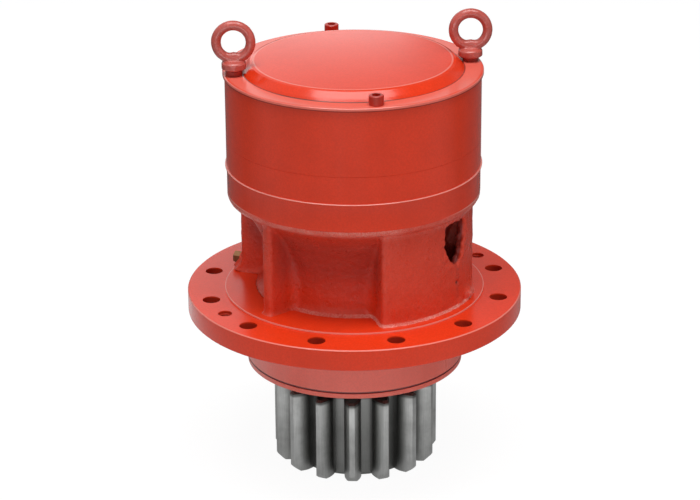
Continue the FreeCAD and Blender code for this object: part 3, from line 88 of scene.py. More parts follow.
def split_of(tree, kind):
    """The X, Y and Z of a coordinate."""
    coordinates = tree.nodes.new("ShaderNodeTexCoord")
    split = tree.nodes.new("ShaderNodeSeparateXYZ")
    tree.links.new(coordinates.outputs[kind], split.inputs["Vector"])
    return split.outputs


def noise_of(tree, place, scale, detail=3.0, roughness=0.5):
    """Noise from about 0 to 1, finer as its scale grows."""
    node = add(tree, "ShaderNodeTexNoise", Scale=scale, Detail=detail, Roughness=roughness)
    tree.links.new(place, node.inputs["Vector"])
    return node.outputs["Fac"]


def ramp_of(tree, factor, stops):
    """A colour ramp from (position, colour) pairs."""
    node = tree.nodes.new("ShaderNodeValToRGB")
    elements = node.color_ramp.elements
    for index, (position, colour) in enumerate(stops):
        element = elements[index] if index < 2 else elements.new(position)
        element.position = position
        element.color = (*colour, 1.0)
    tree.links.new(factor, node.inputs["Fac"])
    return node.outputs["Color"]


def range_of(tree, factor, low, high, to_low, to_high):
    """A value taken from one range to another."""
    node = add(tree, "ShaderNodeMapRange", From_Min=low, From_Max=high, To_Min=to_low, To_Max=to_high)
    tree.links.new(factor, node.inputs["Value"])
    return node.outputs["Result"]


def math_of(tree, operation, first, second):
    """One operation on two values, each a socket or a number."""
    node = tree.nodes.new("ShaderNodeMath")
    node.operation = operation
    for socket, item in zip(node.inputs, (first, second)):
        if isinstance(item, (int, float)):
            socket.default_value = item
        else:
            tree.links.new(item, socket)
    return node.outputs["Value"]


def mix_of(tree, factor, first, second):
    """A mix of two colours, each a socket or red, green and blue."""
    node = tree.nodes.new("ShaderNodeMix")
    node.data_type = "RGBA"
    sockets = (node.inputs["Factor"], node.inputs[6], node.inputs[7])
    for socket, item in zip(sockets, (factor, first, second)):
        if isinstance(item, (int, float)):
            socket.default_value = item
        elif isinstance(item, tuple):
            socket.default_value = (*item, 1.0)
        else:
            tree.links.new(item, socket)
    return node.outputs[2]


def bump_of(tree, height, strength, distance, below=None):
    """A bumped normal, on top of the one below it."""
    node = add(tree, "ShaderNodeBump", Strength=strength, Distance=distance)
    tree.links.new(height, node.inputs["Height"])
    if below is not None:
        tree.links.new(below, node.inputs["Normal"])
    return node.outputs["Normal"]


# Materials

PAINT = (0.79, 0.042, 0.008)
PAINT_DUSTY = (0.80, 0.075, 0.035)
PAINT_THIN = (0.93, 0.13, 0.08)
# pale pink for dust, and for painted highlights and glints
HIGHLIGHT_AND_DUST = (0.88, 0.42, 0.36)
PAINT_BRIGHT = (0.85, 0.046, 0.009)
# deep red for painted shade
DEEP_SHADE = (0.32, 0.036, 0.026)
PAINT_ON_SCREWS = (0.46, 0.020, 0.008)
PAINT_ON_WASHERS = (0.34, 0.030, 0.020)
PAINT_ON_FORGING = (0.50, 0.085, 0.065)
# near black for painted shade and painted shadow
PAINTED_SHADE = (0.10, 0.012, 0.008)
SHADOWED = (0.20, 0.022, 0.018)
# dark red for painted shade in a groove
GROOVE_SHADE = (0.18, 0.008, 0.005)
OIL_STAIN = (0.05, 0.045, 0.04)
# dark film for oil, and for painted shade and painted shadow
OIL_AND_SHADE = (0.10, 0.10, 0.095)

# how much paler or darker than its colour the enamel gets in its clouds
ENAMEL_CLOUDS = ((0.30, 0.90), (0.50, 1.0), (0.72, 1.04))
ENAMEL_MOTTLE = 0.80

# how fine each pattern is, and how much finer along X, Y and Z where it is stretched
CLOUD_SCALE = 11.0
MOTTLE_SCALE = 420.0
BRUSH_STRETCH = (70.0, 70.0, 5.0)
CAST_STREAK_SCALE = 60.0
CAST_LUMP_SCALE = 170.0
CAST_GRAIN_SCALE = 620.0
TURNED_STRETCH = (6.0, 6.0, 700.0)
PEEL_SCALE = 500.0
TOOL_STRETCH = (60.0, 60.0, 6.0)
TOOTH_STRETCH = (130.0, 130.0, 5.0)
TOOL_SCALE = 6.0
OIL_SCALE = 22.0
RUBBER_SCALE = 400.0

# how much of a pattern counts: from where to where in the noise, and the amount at either end
NOISE_MIDDLE = (0.3, 0.7)
DUST_AMOUNT = (0.45, 0.75)
OIL_AMOUNT = (0.42, 0.66)
MOTTLE_AMOUNT = (0.35, 0.65, 0.0, 0.5)
SPECKLE_AMOUNT = (0.42, 0.62, 0.15, 1.0)
PATCH_AMOUNT = (0.40, 0.58, 0.35, 1.0)

# strength and height of each bump; those of the casting have its grain as strength
CAST_LUMP_RISE = 1.6 * MM
CAST_GRAIN_RISE = 0.9 * MM
PEEL_BUMP = (0.12, 0.1 * MM)
TURNED_BUMP = (0.25, 0.1 * MM)
TOOL_BUMP = (0.35, 0.2 * MM)
RUBBER_BUMP = (0.3, 0.3 * MM)


def shade_of(colour, share):
    """A colour darkened or lightened by a share."""
    return tuple(channel * share for channel in colour)


def along_of(tree, axis):
    """Radius from the gearbox axis, height above the flange's face, or turn from the front, 1 mm a degree."""
    place = split_of(tree, "Object")
    if axis == "height":
        return place["Z"]
    if axis == "turn":
        towards = math_of(tree, "MULTIPLY", place["Y"], -1.0)
        turn = math_of(tree, "ARCTAN2", place["X"], towards)
        return math_of(tree, "MULTIPLY", turn, math.degrees(MM))
    across = math_of(tree, "MULTIPLY", place["X"], place["X"])
    deep = math_of(tree, "MULTIPLY", place["Y"], place["Y"])
    return math_of(tree, "SQRT", math_of(tree, "ADD", across, deep), 0.0)


def zone_of(tree, *limits):
    """1 inside every (axis, low, high, soft edge), 0 outside."""
    inside = 1.0
    for axis, low, high, soft in limits:
        along = along_of(tree, axis)
        rise = range_of(tree, along, (low - soft) * MM, low * MM, 0.0, 1.0)
        fall = range_of(tree, along, high * MM, (high + soft) * MM, 1.0, 0.0)
        inside = math_of(tree, "MULTIPLY", inside, math_of(tree, "MULTIPLY", rise, fall))
    return inside


def make_paint(name, colour, rough, grain=0.0, dust=0.10, marks=(), ior=1.42):
    """Red enamel between two roughnesses.

    grain is how much of the casting shows, and marks are (colour, share, speckle scale, zone limits), for
    dust and for painted highlights and shade.
    """
    material, tree, shader = new_material(name)
    place = place_of(tree)
    if grain:
        streaks = noise_of(tree, place, CAST_STREAK_SCALE, 4.0, 0.6)
    else:
        streaks = noise_of(tree, place_of(tree, BRUSH_STRETCH), 1.0, 4.0, 0.6)
    clouds = noise_of(tree, place, CLOUD_SCALE, 5.0, 0.6)
    base = ramp_of(tree, clouds, [(stop, shade_of(colour, shade)) for stop, shade in ENAMEL_CLOUDS])
    veil = range_of(tree, streaks, *DUST_AMOUNT, 0.0, dust)
    base = mix_of(tree, veil, base, PAINT_DUSTY)
    mottle = noise_of(tree, place, MOTTLE_SCALE, 2.0, 0.6)
    base = mix_of(tree, range_of(tree, mottle, *MOTTLE_AMOUNT), base, shade_of(colour, ENAMEL_MOTTLE))
    for tint, share, speckle, limits in marks:
        amount = math_of(tree, "MULTIPLY", zone_of(tree, *limits), share)
        if speckle:
            grains = noise_of(tree, place, speckle, 3.0, 0.7)
            amount = math_of(tree, "MULTIPLY", amount, range_of(tree, grains, *SPECKLE_AMOUNT))
            amount = math_of(tree, "MULTIPLY", amount, range_of(tree, clouds, *PATCH_AMOUNT))
        base = mix_of(tree, amount, base, tint)
    tree.links.new(base, shader.inputs["Base Color"])
    tree.links.new(range_of(tree, streaks, *NOISE_MIDDLE, *rough), shader.inputs["Roughness"])
    if grain:
        coarse = noise_of(tree, place, CAST_LUMP_SCALE, 3.0, 0.6)
        fine = noise_of(tree, place, CAST_GRAIN_SCALE, 3.0, 0.7)
        finish = bump_of(tree, coarse, grain, CAST_LUMP_RISE)
        finish = bump_of(tree, fine, grain, CAST_GRAIN_RISE, finish)
    else:
        turned = noise_of(tree, place_of(tree, TURNED_STRETCH), 1.0, 2.0, 0.5)
        peel = noise_of(tree, place, PEEL_SCALE, 2.0, 0.5)
        finish = bump_of(tree, peel, *PEEL_BUMP, bump_of(tree, turned, *TURNED_BUMP))
    tree.links.new(finish, shader.inputs["Normal"])
    shader.inputs["IOR"].default_value = ior
    return material


def make_steel(name, light, dark, rough_low, rough_high, grain=TOOL_STRETCH, oil=0.0, oil_film_and_shade=()):
    """Machined metal with tool lines; oil darkens it in patches, and the last argument holds (share, zone
    limits) pairs of a dark film that stands for oil and for painted shade.
    """
    material, tree, shader = new_material(name)
    lines = noise_of(tree, place_of(tree, grain), TOOL_SCALE, 5.0, 0.6)
    patches = noise_of(tree, place_of(tree), OIL_SCALE, 4.0, 0.6)
    base = mix_of(tree, lines, dark, light)
    if oil:
        stain = range_of(tree, patches, *OIL_AMOUNT, 0.0, oil)
        base = mix_of(tree, stain, base, OIL_STAIN)
    for share, limits in oil_film_and_shade:
        amount = math_of(tree, "MULTIPLY", zone_of(tree, *limits), share)
        base = mix_of(tree, amount, base, OIL_AND_SHADE)
    tree.links.new(base, shader.inputs["Base Color"])
    tree.links.new(range_of(tree, patches, *NOISE_MIDDLE, rough_low, rough_high), shader.inputs["Roughness"])
    tree.links.new(bump_of(tree, lines, *TOOL_BUMP), shader.inputs["Normal"])
    shader.inputs["Metallic"].default_value = 1.0
    return material


# Marks in the paint, in mm and degrees: dust, and painted highlights, shade and shadow
BAND_MARKS = [
    # painted highlight on the lip at the top of the band
    (HIGHLIGHT_AND_DUST, 0.7, 0.0, [("height", 191.9, 193.0, 0.3)]),
    # painted highlight on the lower edge, at both sides
    (HIGHLIGHT_AND_DUST, 0.8, 0.0, [("height", 156.9, 158.4, 0.4), ("turn", 70.0, 120.0, 30.0)]),
    (HIGHLIGHT_AND_DUST, 0.8, 0.0, [("height", 156.9, 158.4, 0.4), ("turn", -120.0, -70.0, 30.0)]),
]
FLANGE_MARKS = [
    # walls of the bolt holes
    (SHADOWED, 0.50, 0.0, [("radius", 172.0, 198.0, 0.5), ("height", 0.5, 25.0, 0.8)]),
    # painted highlights on the rim and on the edge of the foot ring
    (HIGHLIGHT_AND_DUST, 0.45, 0.0, [("height", 25.9, 27.2, 0.3), ("radius", 208.9, 211.0, 0.2)]),
    (HIGHLIGHT_AND_DUST, 0.6, 0.0, [("height", 27.4, 29.3, 0.3), ("radius", 162.1, 163.6, 0.3)]),
]
COVER_MARKS = [
    # painted shade at the foot of the dome, wider at the front
    (PAINTED_SHADE, 0.9, 0.0, [("radius", 136.4, 137.2, 0.3)]),
    (PAINTED_SHADE, 0.9, 0.0, [("radius", 136.2, 139.0, 0.3), ("turn", -38.0, 16.0, 12.0)]),
    # painted highlight on the edge of the rim, and painted shadow in the joint under it
    (HIGHLIGHT_AND_DUST, 0.30, 0.0, [("height", 310.0, 312.6, 0.5), ("radius", 158.0, 161.0, 0.5)]),
    (PAINTED_SHADE, 0.8, 0.0, [("height", 308.0, 309.3, 0.4), ("radius", 157.0, 161.0, 0.5)]),
    # painted highlight on the shoulder of the dome, and the rim paler all round, partly dust and partly
    # painted sheen
    (HIGHLIGHT_AND_DUST, 0.35, 0.0, [("radius", 121.0, 122.6, 0.6)]),
    (HIGHLIGHT_AND_DUST, 0.26, 0.0, [("radius", 138.5, 156.0, 2.5)]),
]
# the faces of the neck that lie furthest out
OUTER_FACES = ("radius", 140.0, 175.0, 2.0)
CAST_MARKS = [
    # painted shade, a deep colour high in the pockets between the ribs
    (DEEP_SHADE, 0.62, 0.0, [("radius", 0.0, 128.0, 22.0), ("height", 88.0, 165.0, 36.0)]),
    # pale speckle on the ribs, partly dust and partly painted glints, thicker below the band where it is a
    # painted highlight
    (HIGHLIGHT_AND_DUST, 0.07, 1100.0, [("radius", 128.0, 175.0, 6.0), ("height", 30.0, 157.0, 2.0)]),
    (HIGHLIGHT_AND_DUST, 0.55, 700.0, [("radius", 146.0, 170.0, 6.0), ("height", 150.0, 157.5, 11.0)]),
    # painted highlight along the bead where the neck meets the foot
    (HIGHLIGHT_AND_DUST, 0.90, 700.0, [("height", 29.4, 31.8, 1.2), ("turn", -34.0, 84.0, 8.0)]),
    # painted highlight on the lump, and painted shade along the crease and in the blow hole, below the window
    (HIGHLIGHT_AND_DUST, 0.70, 300.0, [OUTER_FACES, ("height", 34.0, 39.0, 4.0), ("turn", 68.0, 76.0, 4.0)]),
    (DEEP_SHADE, 0.50, 300.0, [OUTER_FACES, ("height", 44.0, 84.0, 6.0), ("turn", 57.0, 58.4, 1.6)]),
    (PAINTED_SHADE, 0.95, 0.0, [OUTER_FACES, ("height", 59.5, 63.0, 0.8), ("turn", 56.8, 58.0, 0.5)]),
    # dark walls behind the window
    (SHADOWED, 0.85, 0.0, [("radius", 0.0, 145.5, 1.5), ("height", 80.0, 144.0, 2.0),
                           ("turn", 46.0, 67.0, 1.0)]),
]
# painted shade in the groove above the retainer
PILOT_MARKS = [(GROOVE_SHADE, 1.0, 0.0, [("height", -64.0, -61.2, 0.1)])]
# dark oil between the pinion's teeth, also painted shade up their flanks, and painted shadow of the retainer
# on their upper ends
PINION_OIL_AND_SHADE = [(0.70, [("radius", 0.0, 84.0, 14.0)]), (0.9, [("height", -97.0, -88.0, 3.0)])]

paint_machined = make_paint("enamel_on_machined_iron", PAINT, (0.16, 0.24))
paint_band = make_paint("enamel_on_casing_band", PAINT, (0.16, 0.24), marks=BAND_MARKS)
paint_flange = make_paint("enamel_on_turned_flange", PAINT_BRIGHT, (0.22, 0.26), marks=FLANGE_MARKS)
paint_cover = make_paint("enamel_on_pressed_cover", PAINT, (0.18, 0.22), marks=COVER_MARKS)
paint_cast = make_paint("enamel_on_rough_casting", shade_of(PAINT, 0.9), (0.24, 0.42),
                        grain=0.7, dust=0.25, marks=CAST_MARKS)
paint_pilot = make_paint("thin_enamel_on_turned_pilot", PAINT_THIN, (0.26, 0.36),
                         dust=0.3, ior=1.75, marks=PILOT_MARKS)
paint_screw = make_paint("enamel_on_cap_screw", PAINT_ON_SCREWS, (0.24, 0.36), dust=0.1)
paint_washer = make_paint("enamel_on_eye_washer", PAINT_ON_WASHERS, (0.24, 0.36), dust=0.2)
paint_forged = make_paint("thin_enamel_on_forged_steel", PAINT_ON_FORGING, (0.20, 0.32),
                          grain=0.2, dust=0.3, ior=1.6)
pinion_steel = make_steel("hobbed_steel", (0.68, 0.68, 0.66), (0.38, 0.39, 0.39), 0.30, 0.42,
                          TOOTH_STRETCH, 0.35, PINION_OIL_AND_SHADE)
plain_steel = make_steel("machined_steel", (0.62, 0.62, 0.62), (0.42, 0.42, 0.43), 0.25, 0.42)
bearing_steel = make_steel("ground_steel", (0.78, 0.78, 0.80), (0.66, 0.67, 0.70), 0.12, 0.22)
cast_iron = make_steel("machined_casting", (0.40, 0.40, 0.40), (0.28, 0.28, 0.28), 0.42, 0.60)
bronze = make_steel("turned_bronze", (0.78, 0.52, 0.24), (0.60, 0.38, 0.15), 0.25, 0.40)
zinc = make_steel("stained_zinc_plate", (0.42, 0.20, 0.09), (0.22, 0.11, 0.05), 0.35, 0.55, oil=0.4)


def make_rubber():
    """Nearly black moulded rubber."""
    material, tree, shader = new_material("nitrile_rubber")
    speckle = noise_of(tree, place_of(tree), RUBBER_SCALE, 3.0, 0.6)
    base = ramp_of(tree, speckle, [(0.3, (0.018, 0.018, 0.02)), (0.7, (0.04, 0.04, 0.043))])
    tree.links.new(base, shader.inputs["Base Color"])
    tree.links.new(range_of(tree, speckle, *NOISE_MIDDLE, 0.5, 0.7), shader.inputs["Roughness"])
    tree.links.new(bump_of(tree, speckle, *RUBBER_BUMP), shader.inputs["Normal"])
    return material


rubber = make_rubber()

# finish of each material slot, and the nodes with a finish of their own
FINISHES = {
    "red_paint": paint_machined,
    "plain_steel": plain_steel,
    "plated_plug": zinc,
    "rubber": rubber,
    "bearing_steel": bearing_steel,
    "pinion_steel": pinion_steel,
    "gear_steel": plain_steel,
    "cast_carrier": cast_iron,
    "bronze": bronze,
}
OWN_FINISHES = {
    "top_cover": paint_cover,
    "bearing_retainer": paint_pilot,
    "cover_screws": paint_screw,
    "eye_bolt_washers": paint_washer,
    "drain_washer": paint_cast,
}


def finish_nodes():
    """Give every CAD node the finish of its slot in the record."""
    for part in frame["record"]["subparts"]:
        item = nodes[part["node"]]
        item.data.materials.clear()
        item.data.materials.append(OWN_FINISHES.get(part["node"], FINISHES[part["material_slot"]]))


finish_nodes()


# Casing: its machined bands stay crisp, and the rough casting between them is softened

# cuts between the pilot, the flange, the neck and the band
PILOT_CUT = -0.4 * MM
FOOT_TOP = 29.0 * MM
FLANGE_LAP = 0.02 * MM
SLAB_LOW = 27.6 * MM
BAND_LOW = 157.0 * MM
SLAB_HIGH = 160.0 * MM
WELD = 0.001 * MM
CUT_TOLERANCE = 0.0001 * MM

# softness and skin of the casting: rise, size and seed of each noise
CAST_VOXEL = 1.9 * MM
CAST_SMOOTHING = 15
SMOOTHING_FACTOR = 0.5
CAST_SKIN = ((0.40 * MM, 11.0 * MM, 1), (0.20 * MM, 3.4 * MM, 2))
BORE_SKIP_R = 97.0 * MM
BORE_SKIP_SOFT = 4.0 * MM

# heights between which the neck is softened, from none to full, above its foot and below the band
SOFT_ABOVE_FOOT = (SLAB_LOW + 1.5 * MM, FOOT_TOP + 1.0 * MM)
SOFT_BELOW_BAND = (BAND_LOW + 0.5 * MM, BAND_LOW - 2.5 * MM)

# how far the neck sinks where the band and the flange cover it, and the heights where that sets in
BAND_SINK = 0.45 * MM
BAND_COVERS = (BAND_LOW - 1.0 * MM, BAND_LOW + 0.5 * MM)
SKIN_LEFT_OUT = 0.5
FOOT_SINK = 0.7 * MM
FOOT_COVERS = (FOOT_TOP + 0.9 * MM, FOOT_TOP + 0.3 * MM)

# ragged edge of the window
WINDOW_TURN = 56.5
WINDOW_HIGH = 112.0 * MM
WINDOW_SQUEEZE = 0.8
WINDOW_REACH = 23.0 * MM
WINDOW_FADE = 31.0 * MM
WINDOW_SKIP_R = 132.0 * MM
WINDOW_SKIN = (2.4 * MM, 7.0 * MM, 3)

# lumps and the blow hole of the casting: turn from the front in degrees, then height, width and rise in mm
NECK_MARKS = [
    (57.5, 61.0, 2.4, -5.0),
    (57.0, 66.0, 3.5, 0.8),
    (68.0, 37.0, 8.0, 7.0),
    (74.0, 35.0, 9.0, 5.0),
    (60.0, 33.0, 6.0, 2.0),
    (-20.0, 33.0, 9.0, 2.0),
    (-34.0, 33.0, 7.0, 2.0),
]
MARKS_SKIP_R = 140.0 * MM

# the neck's foot flares from the left of the front round to the back, in degrees from the front
FLARE_REACH = 9.0 * MM
FLARE_HIGH = 17.0 * MM
FLARE_SETS_IN = (FOOT_TOP + 0.2 * MM, FOOT_TOP + 0.9 * MM)
FLARE_START = -54.0
FLARE_FULL = -62.0

# groove between the pilot and the retainer
SEAM_DEEP = 1.8 * MM
SEAM_HIGH = 2.2 * MM
SEAM_STEP = 0.2 * MM
SEAM_REACH = 0.1 * MM


def slab(name, low, high):
    """The casing between two heights, closed where it is cut."""
    work = bmesh.new()
    work.from_mesh(nodes["casing"].data)
    bmesh.ops.remove_doubles(work, verts=work.verts, dist=WELD)
    for height, side in ((low, -1), (high, 1)):
        if height is None:
            continue
        cut = bmesh.ops.bisect_plane(work, geom=work.verts[:] + work.edges[:] + work.faces[:],
                                     dist=CUT_TOLERANCE, plane_co=(0, 0, height), plane_no=(0, 0, side),
                                     clear_outer=True)
        rim = [item for item in cut["geom_cut"] if isinstance(item, bmesh.types.BMEdge)]
        bmesh.ops.triangle_fill(work, use_beauty=True, use_dissolve=False, edges=rim)
    bmesh.ops.recalc_face_normals(work, faces=work.faces)
    return link_mesh(name, work)


def shade_edges(work, sharp_angle=30.0):
    """Shade faces smooth and edges sharp above an angle."""
    for face in work.faces:
        face.smooth = True
    for edge in work.edges:
        edge.smooth = edge.is_manifold and edge.calc_face_angle() < math.radians(sharp_angle)


def link_mesh(name, work):
    """Turn a bmesh into an object."""
    shade_edges(work)
    mesh = bpy.data.meshes.new(name)
    work.to_mesh(mesh)
    work.free()
    piece = bpy.data.objects.new(name, mesh)
    bpy.context.scene.collection.objects.link(piece)
    return piece


def bake(piece):
    """Apply a piece's modifiers to its mesh."""
    graph = bpy.context.evaluated_depsgraph_get()
    mesh = bpy.data.meshes.new_from_object(piece.evaluated_get(graph))
    piece.modifiers.clear()
    piece.data = mesh


def remesh(piece, size):
    """Build a piece again from voxels."""
    voxels = piece.modifiers.new("voxels", "REMESH")
    voxels.mode = "VOXEL"
    voxels.voxel_size = size
    bake(piece)


def soften(piece, iterations, group=""):
    """Smooth a piece, or only its vertex group."""
    smoother = piece.modifiers.new("soften", "SMOOTH")
    smoother.vertex_group = group
    smoother.factor = SMOOTHING_FACTOR
    smoother.iterations = iterations
    bake(piece)


def read_points(mesh):
    """The places of a mesh's vertices, one row each."""
    flat = np.empty(len(mesh.vertices) * 3)
    mesh.vertices.foreach_get("co", flat)
    return flat.reshape(-1, 3)


def read_normals(mesh):
    """The normals of a mesh's vertices, one row each."""
    flat = np.empty(len(mesh.vertices) * 3)
    mesh.vertices.foreach_get("normal", flat)
    return flat.reshape(-1, 3)


def write_points(mesh, points):
    """Move a mesh's vertices and shade it smooth."""
    mesh.vertices.foreach_set("co", points.ravel())
    mesh.update()
    mesh.shade_smooth()


def fade(values, start, end):
    """0 at start, 1 at end, smooth between."""
    share = np.clip((values - start) / (end - start), 0.0, 1.0)
    return share * share * (3 - 2 * share)


def radii_of(points):
    """How far each point lies from the gearbox axis."""
    return np.hypot(points[:, 0], points[:, 1])


def outside_of(radii):
    """0 in the bore, 1 outside."""
    return fade(radii, BORE_SKIP_R, BORE_SKIP_R + BORE_SKIP_SOFT)


def lumps(points, rise, size, seed):
    """Noise for every point, about as high as rise both ways."""
    shift = Vector((seed * 3.7, seed * 1.3, seed * 2.1))
    return rise * np.array([noise.noise(Vector(point) / size + shift) for point in points])


def soften_neck(neck):
    """Smooth the outside, and neither the bore, the foot nor the band."""
    points = read_points(neck.data)
    soft = outside_of(radii_of(points)) * fade(points[:, 2], *SOFT_ABOVE_FOOT)
    soft *= fade(points[:, 2], *SOFT_BELOW_BAND)
    group = neck.vertex_groups.new(name="soft")
    for index, weight in enumerate(soft):
        group.add([index], float(weight), "REPLACE")
    soften(neck, CAST_SMOOTHING, "soft")


def skin_of(points, radii, turns):
    """How far each point of the neck is pushed out by the skin, the window's edge and the marks."""
    band = fade(points[:, 2], *BAND_COVERS)
    rough = outside_of(radii) * sum(lumps(points, *skin) for skin in CAST_SKIN)
    shift = rough * (1 - SKIN_LEFT_OUT * band) - BAND_SINK * band
    aside = radii * np.radians(turns - WINDOW_TURN)
    away = np.hypot(aside, (points[:, 2] - WINDOW_HIGH) * WINDOW_SQUEEZE)
    shift += fade(away, WINDOW_FADE, WINDOW_REACH) * (radii > WINDOW_SKIP_R) * lumps(points, *WINDOW_SKIN)
    for turn, height, wide, rise in NECK_MARKS:
        away = np.hypot(radii * np.radians(turns - turn), points[:, 2] - height * MM) / (wide * MM)
        shift += (radii > MARKS_SKIP_R) * rise * MM * np.exp(-away * away)
    return shift


def flare_of(points, radii, turns):
    """How much wider than it is each point of the neck's foot gets."""
    flare = fade(points[:, 2], FOOT_TOP + FLARE_HIGH, FOOT_TOP) * fade(turns, FLARE_START, FLARE_FULL)
    flare *= fade(points[:, 2], *FLARE_SETS_IN)
    return flare * outside_of(radii) * FLARE_REACH / radii


def make_cast_neck():
    """The ribbed neck with the softness and the skin of a sand casting."""
    neck = slab("casing_neck", SLAB_LOW, SLAB_HIGH)
    remesh(neck, CAST_VOXEL)
    soften_neck(neck)
    points = read_points(neck.data)
    radii = radii_of(points)
    turns = np.degrees(np.arctan2(points[:, 0], -points[:, 1]))
    flat_foot = fade(points[:, 2], *FOOT_COVERS)
    shift = skin_of(points, radii, turns) * (1 - flat_foot) - FOOT_SINK * flat_foot
    points = points + read_normals(neck.data) * shift[:, None]
    points[:, :2] *= (1 + flare_of(points, radii, turns))[:, None]
    write_points(neck.data, points)
    return neck


def open_seam(pilot):
    """Step the lower outer edge of the pilot inwards, which leaves a dark groove above the retainer."""
    work = bmesh.new()
    work.from_mesh(pilot.data)
    low = min(vert.co.z for vert in work.verts)
    wide = max(math.hypot(vert.co.x, vert.co.y) for vert in work.verts)
    for height in (SEAM_HIGH, SEAM_HIGH - SEAM_STEP):
        bmesh.ops.bisect_plane(work, geom=work.verts[:] + work.edges[:] + work.faces[:], dist=CUT_TOLERANCE,
                               plane_co=(0, 0, low + height), plane_no=(0, 0, 1))
    for vert in work.verts:
        radius = math.hypot(vert.co.x, vert.co.y)
        if vert.co.z < low + SEAM_HIGH - SEAM_REACH and radius > wide - SEAM_REACH:
            vert.co.xy *= (radius - SEAM_DEEP) / radius
    work.normal_update()
    shade_edges(work)
    old = pilot.data
    pilot.data = bpy.data.meshes.new("casing_pilot")
    work.to_mesh(pilot.data)
    work.free()
    bpy.data.meshes.remove(old)


def dress_casing():
    """Replace the casing by its machined pilot, flange and band and the rough neck between them."""
    dressed = (
        (slab("casing_pilot", None, PILOT_CUT), paint_pilot),
        (slab("casing_flange", PILOT_CUT, FOOT_TOP + FLANGE_LAP), paint_flange),
        (slab("casing_band", BAND_LOW, None), paint_band),
        (make_cast_neck(), paint_cast),
    )
    open_seam(dressed[0][0])
    for piece, material in dressed:
        piece.data.materials.clear()
        piece.data.materials.append(material)
        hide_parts("casing")
        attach(piece, "housing")


dress_casing()


# Lifting eyes and the threads of the jack holes

EYE_VOXEL = 0.75 * MM
EYE_SMOOTHING = 5
EYE_SKIN = (0.14 * MM, 4.0 * MM, 5)
EYE_HOLE_R = 15.0 * MM

# the lump that the forging leaves in the foot of each ring
EYE_LUMP_RISE = 2.4 * MM
EYE_LUMP_SIZE = 4.5 * MM
EYE_LUMP_SQUEEZE = (0.8, 1.0, 1.0)
EYE_LUMP_DOWN = 2.5 * MM

THREAD_PITCH = 2.5 * MM
THREAD_SIDES = 40
THREAD_LOW = 1.2 * MM
THREAD_HIGH = 26.0 * MM
THREAD_OUTER_R = 9.6 * MM
THREAD_ROOT_R = 8.80 * MM
THREAD_CREST_R = 8.15 * MM


def mount_place(name):
    """Where the record puts a mount."""
    mount = next(item for item in frame["record"]["mounts"] if item["name"] == name)
    return Vector(mount["pos_m"])


def forge_eyes():
    """The eye bolts as drop forgings: soft joins, a lump in the foot of each ring and a scaled skin."""
    work = bmesh.new()
    work.from_mesh(nodes["eye_bolts"].data)
    bmesh.ops.remove_doubles(work, verts=work.verts, dist=WELD)
    eyes = link_mesh("eye_bolts_forged", work)
    remesh(eyes, EYE_VOXEL)
    soften(eyes, EYE_SMOOTHING)
    points = read_points(eyes.data)
    shift = lumps(points, *EYE_SKIN)
    for name in ("lifting_eye_right", "lifting_eye_left"):
        lump = np.array(mount_place(name) - Vector((0, 0, EYE_HOLE_R)))
        away = np.linalg.norm((points - lump) * EYE_LUMP_SQUEEZE, axis=1) / EYE_LUMP_SIZE
        shift += EYE_LUMP_RISE * np.exp(-away * away) * (points[:, 2] > lump[2] - EYE_LUMP_DOWN)
    write_points(eyes.data, points + read_normals(eyes.data) * shift[:, None])
    eyes.data.materials.clear()
    eyes.data.materials.append(paint_forged)
    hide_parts("eye_bolts")
    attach(eyes, "housing")


def thread_hole(name, mount):
    """Painted thread ridges inside a jack hole: rings without a lead, in one closed mesh."""
    centre = mount_place(mount)
    steps = int((THREAD_HIGH - THREAD_LOW) / THREAD_PITCH)
    top = THREAD_LOW + steps * THREAD_PITCH
    profile = [(THREAD_OUTER_R, THREAD_LOW)]
    for step in range(steps):
        start = THREAD_LOW + step * THREAD_PITCH
        profile += [(THREAD_ROOT_R, start), (THREAD_CREST_R, start + THREAD_PITCH / 2)]
    profile += [(THREAD_ROOT_R, top), (THREAD_OUTER_R, top)]
    work = bmesh.new()
    rings = []
    for radius, height in profile:
        ring = []
        for side in range(THREAD_SIDES):
            turn = math.tau * side / THREAD_SIDES
            across = radius * math.cos(turn)
            along = radius * math.sin(turn)
            ring.append(work.verts.new((centre.x + across, centre.y + along, height)))
        rings.append(ring)
    for index, ring in enumerate(rings):
        after = rings[(index + 1) % len(rings)]
        for side in range(THREAD_SIDES):
            beyond = (side + 1) % THREAD_SIDES
            work.faces.new((ring[side], ring[beyond], after[beyond], after[side]))
    bmesh.ops.recalc_face_normals(work, faces=work.faces)
    thread = link_mesh(name, work)
    thread.data.materials.append(paint_cast)
    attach(thread, "housing")


forge_eyes()
thread_hole("jack_thread_right", "jack_hole_right")
thread_hole("jack_thread_left", "jack_hole_left")


# Studio

CAMERA_PLACE = Vector((-5.27, -3061.4, 1286.0)) * MM
CAMERA_PITCH = math.radians(-21.62)
CAMERA_ROLL = math.radians(-0.40)
CAMERA_LENS = 134.79
CAMERA_SENSOR = 36.0

# name, place, aim, size and watts
LAMPS = [
    ("key", (-1.2, -2.2, 2.2), (0.0, 0.0, 0.05), (1.4, 1.4), 4.0),
    ("low", (-0.3, -2.6, 0.1), (0.0, 0.0, -0.05), (1.6, 0.5), 11.5),
    ("fill", (2.2, -1.4, 1.2), (0.0, 0.0, 0.1), (1.6, 1.6), 10.0),
    ("top", (0.0, -0.65, 3.6), (0.0, 0.0, 0.2), (3.2, 1.6), 120.0),
    ("panel", (-0.95, 3.0, 0.9), (0.0, 0.0, 0.2), (2.4, 0.4), 4.4),
]

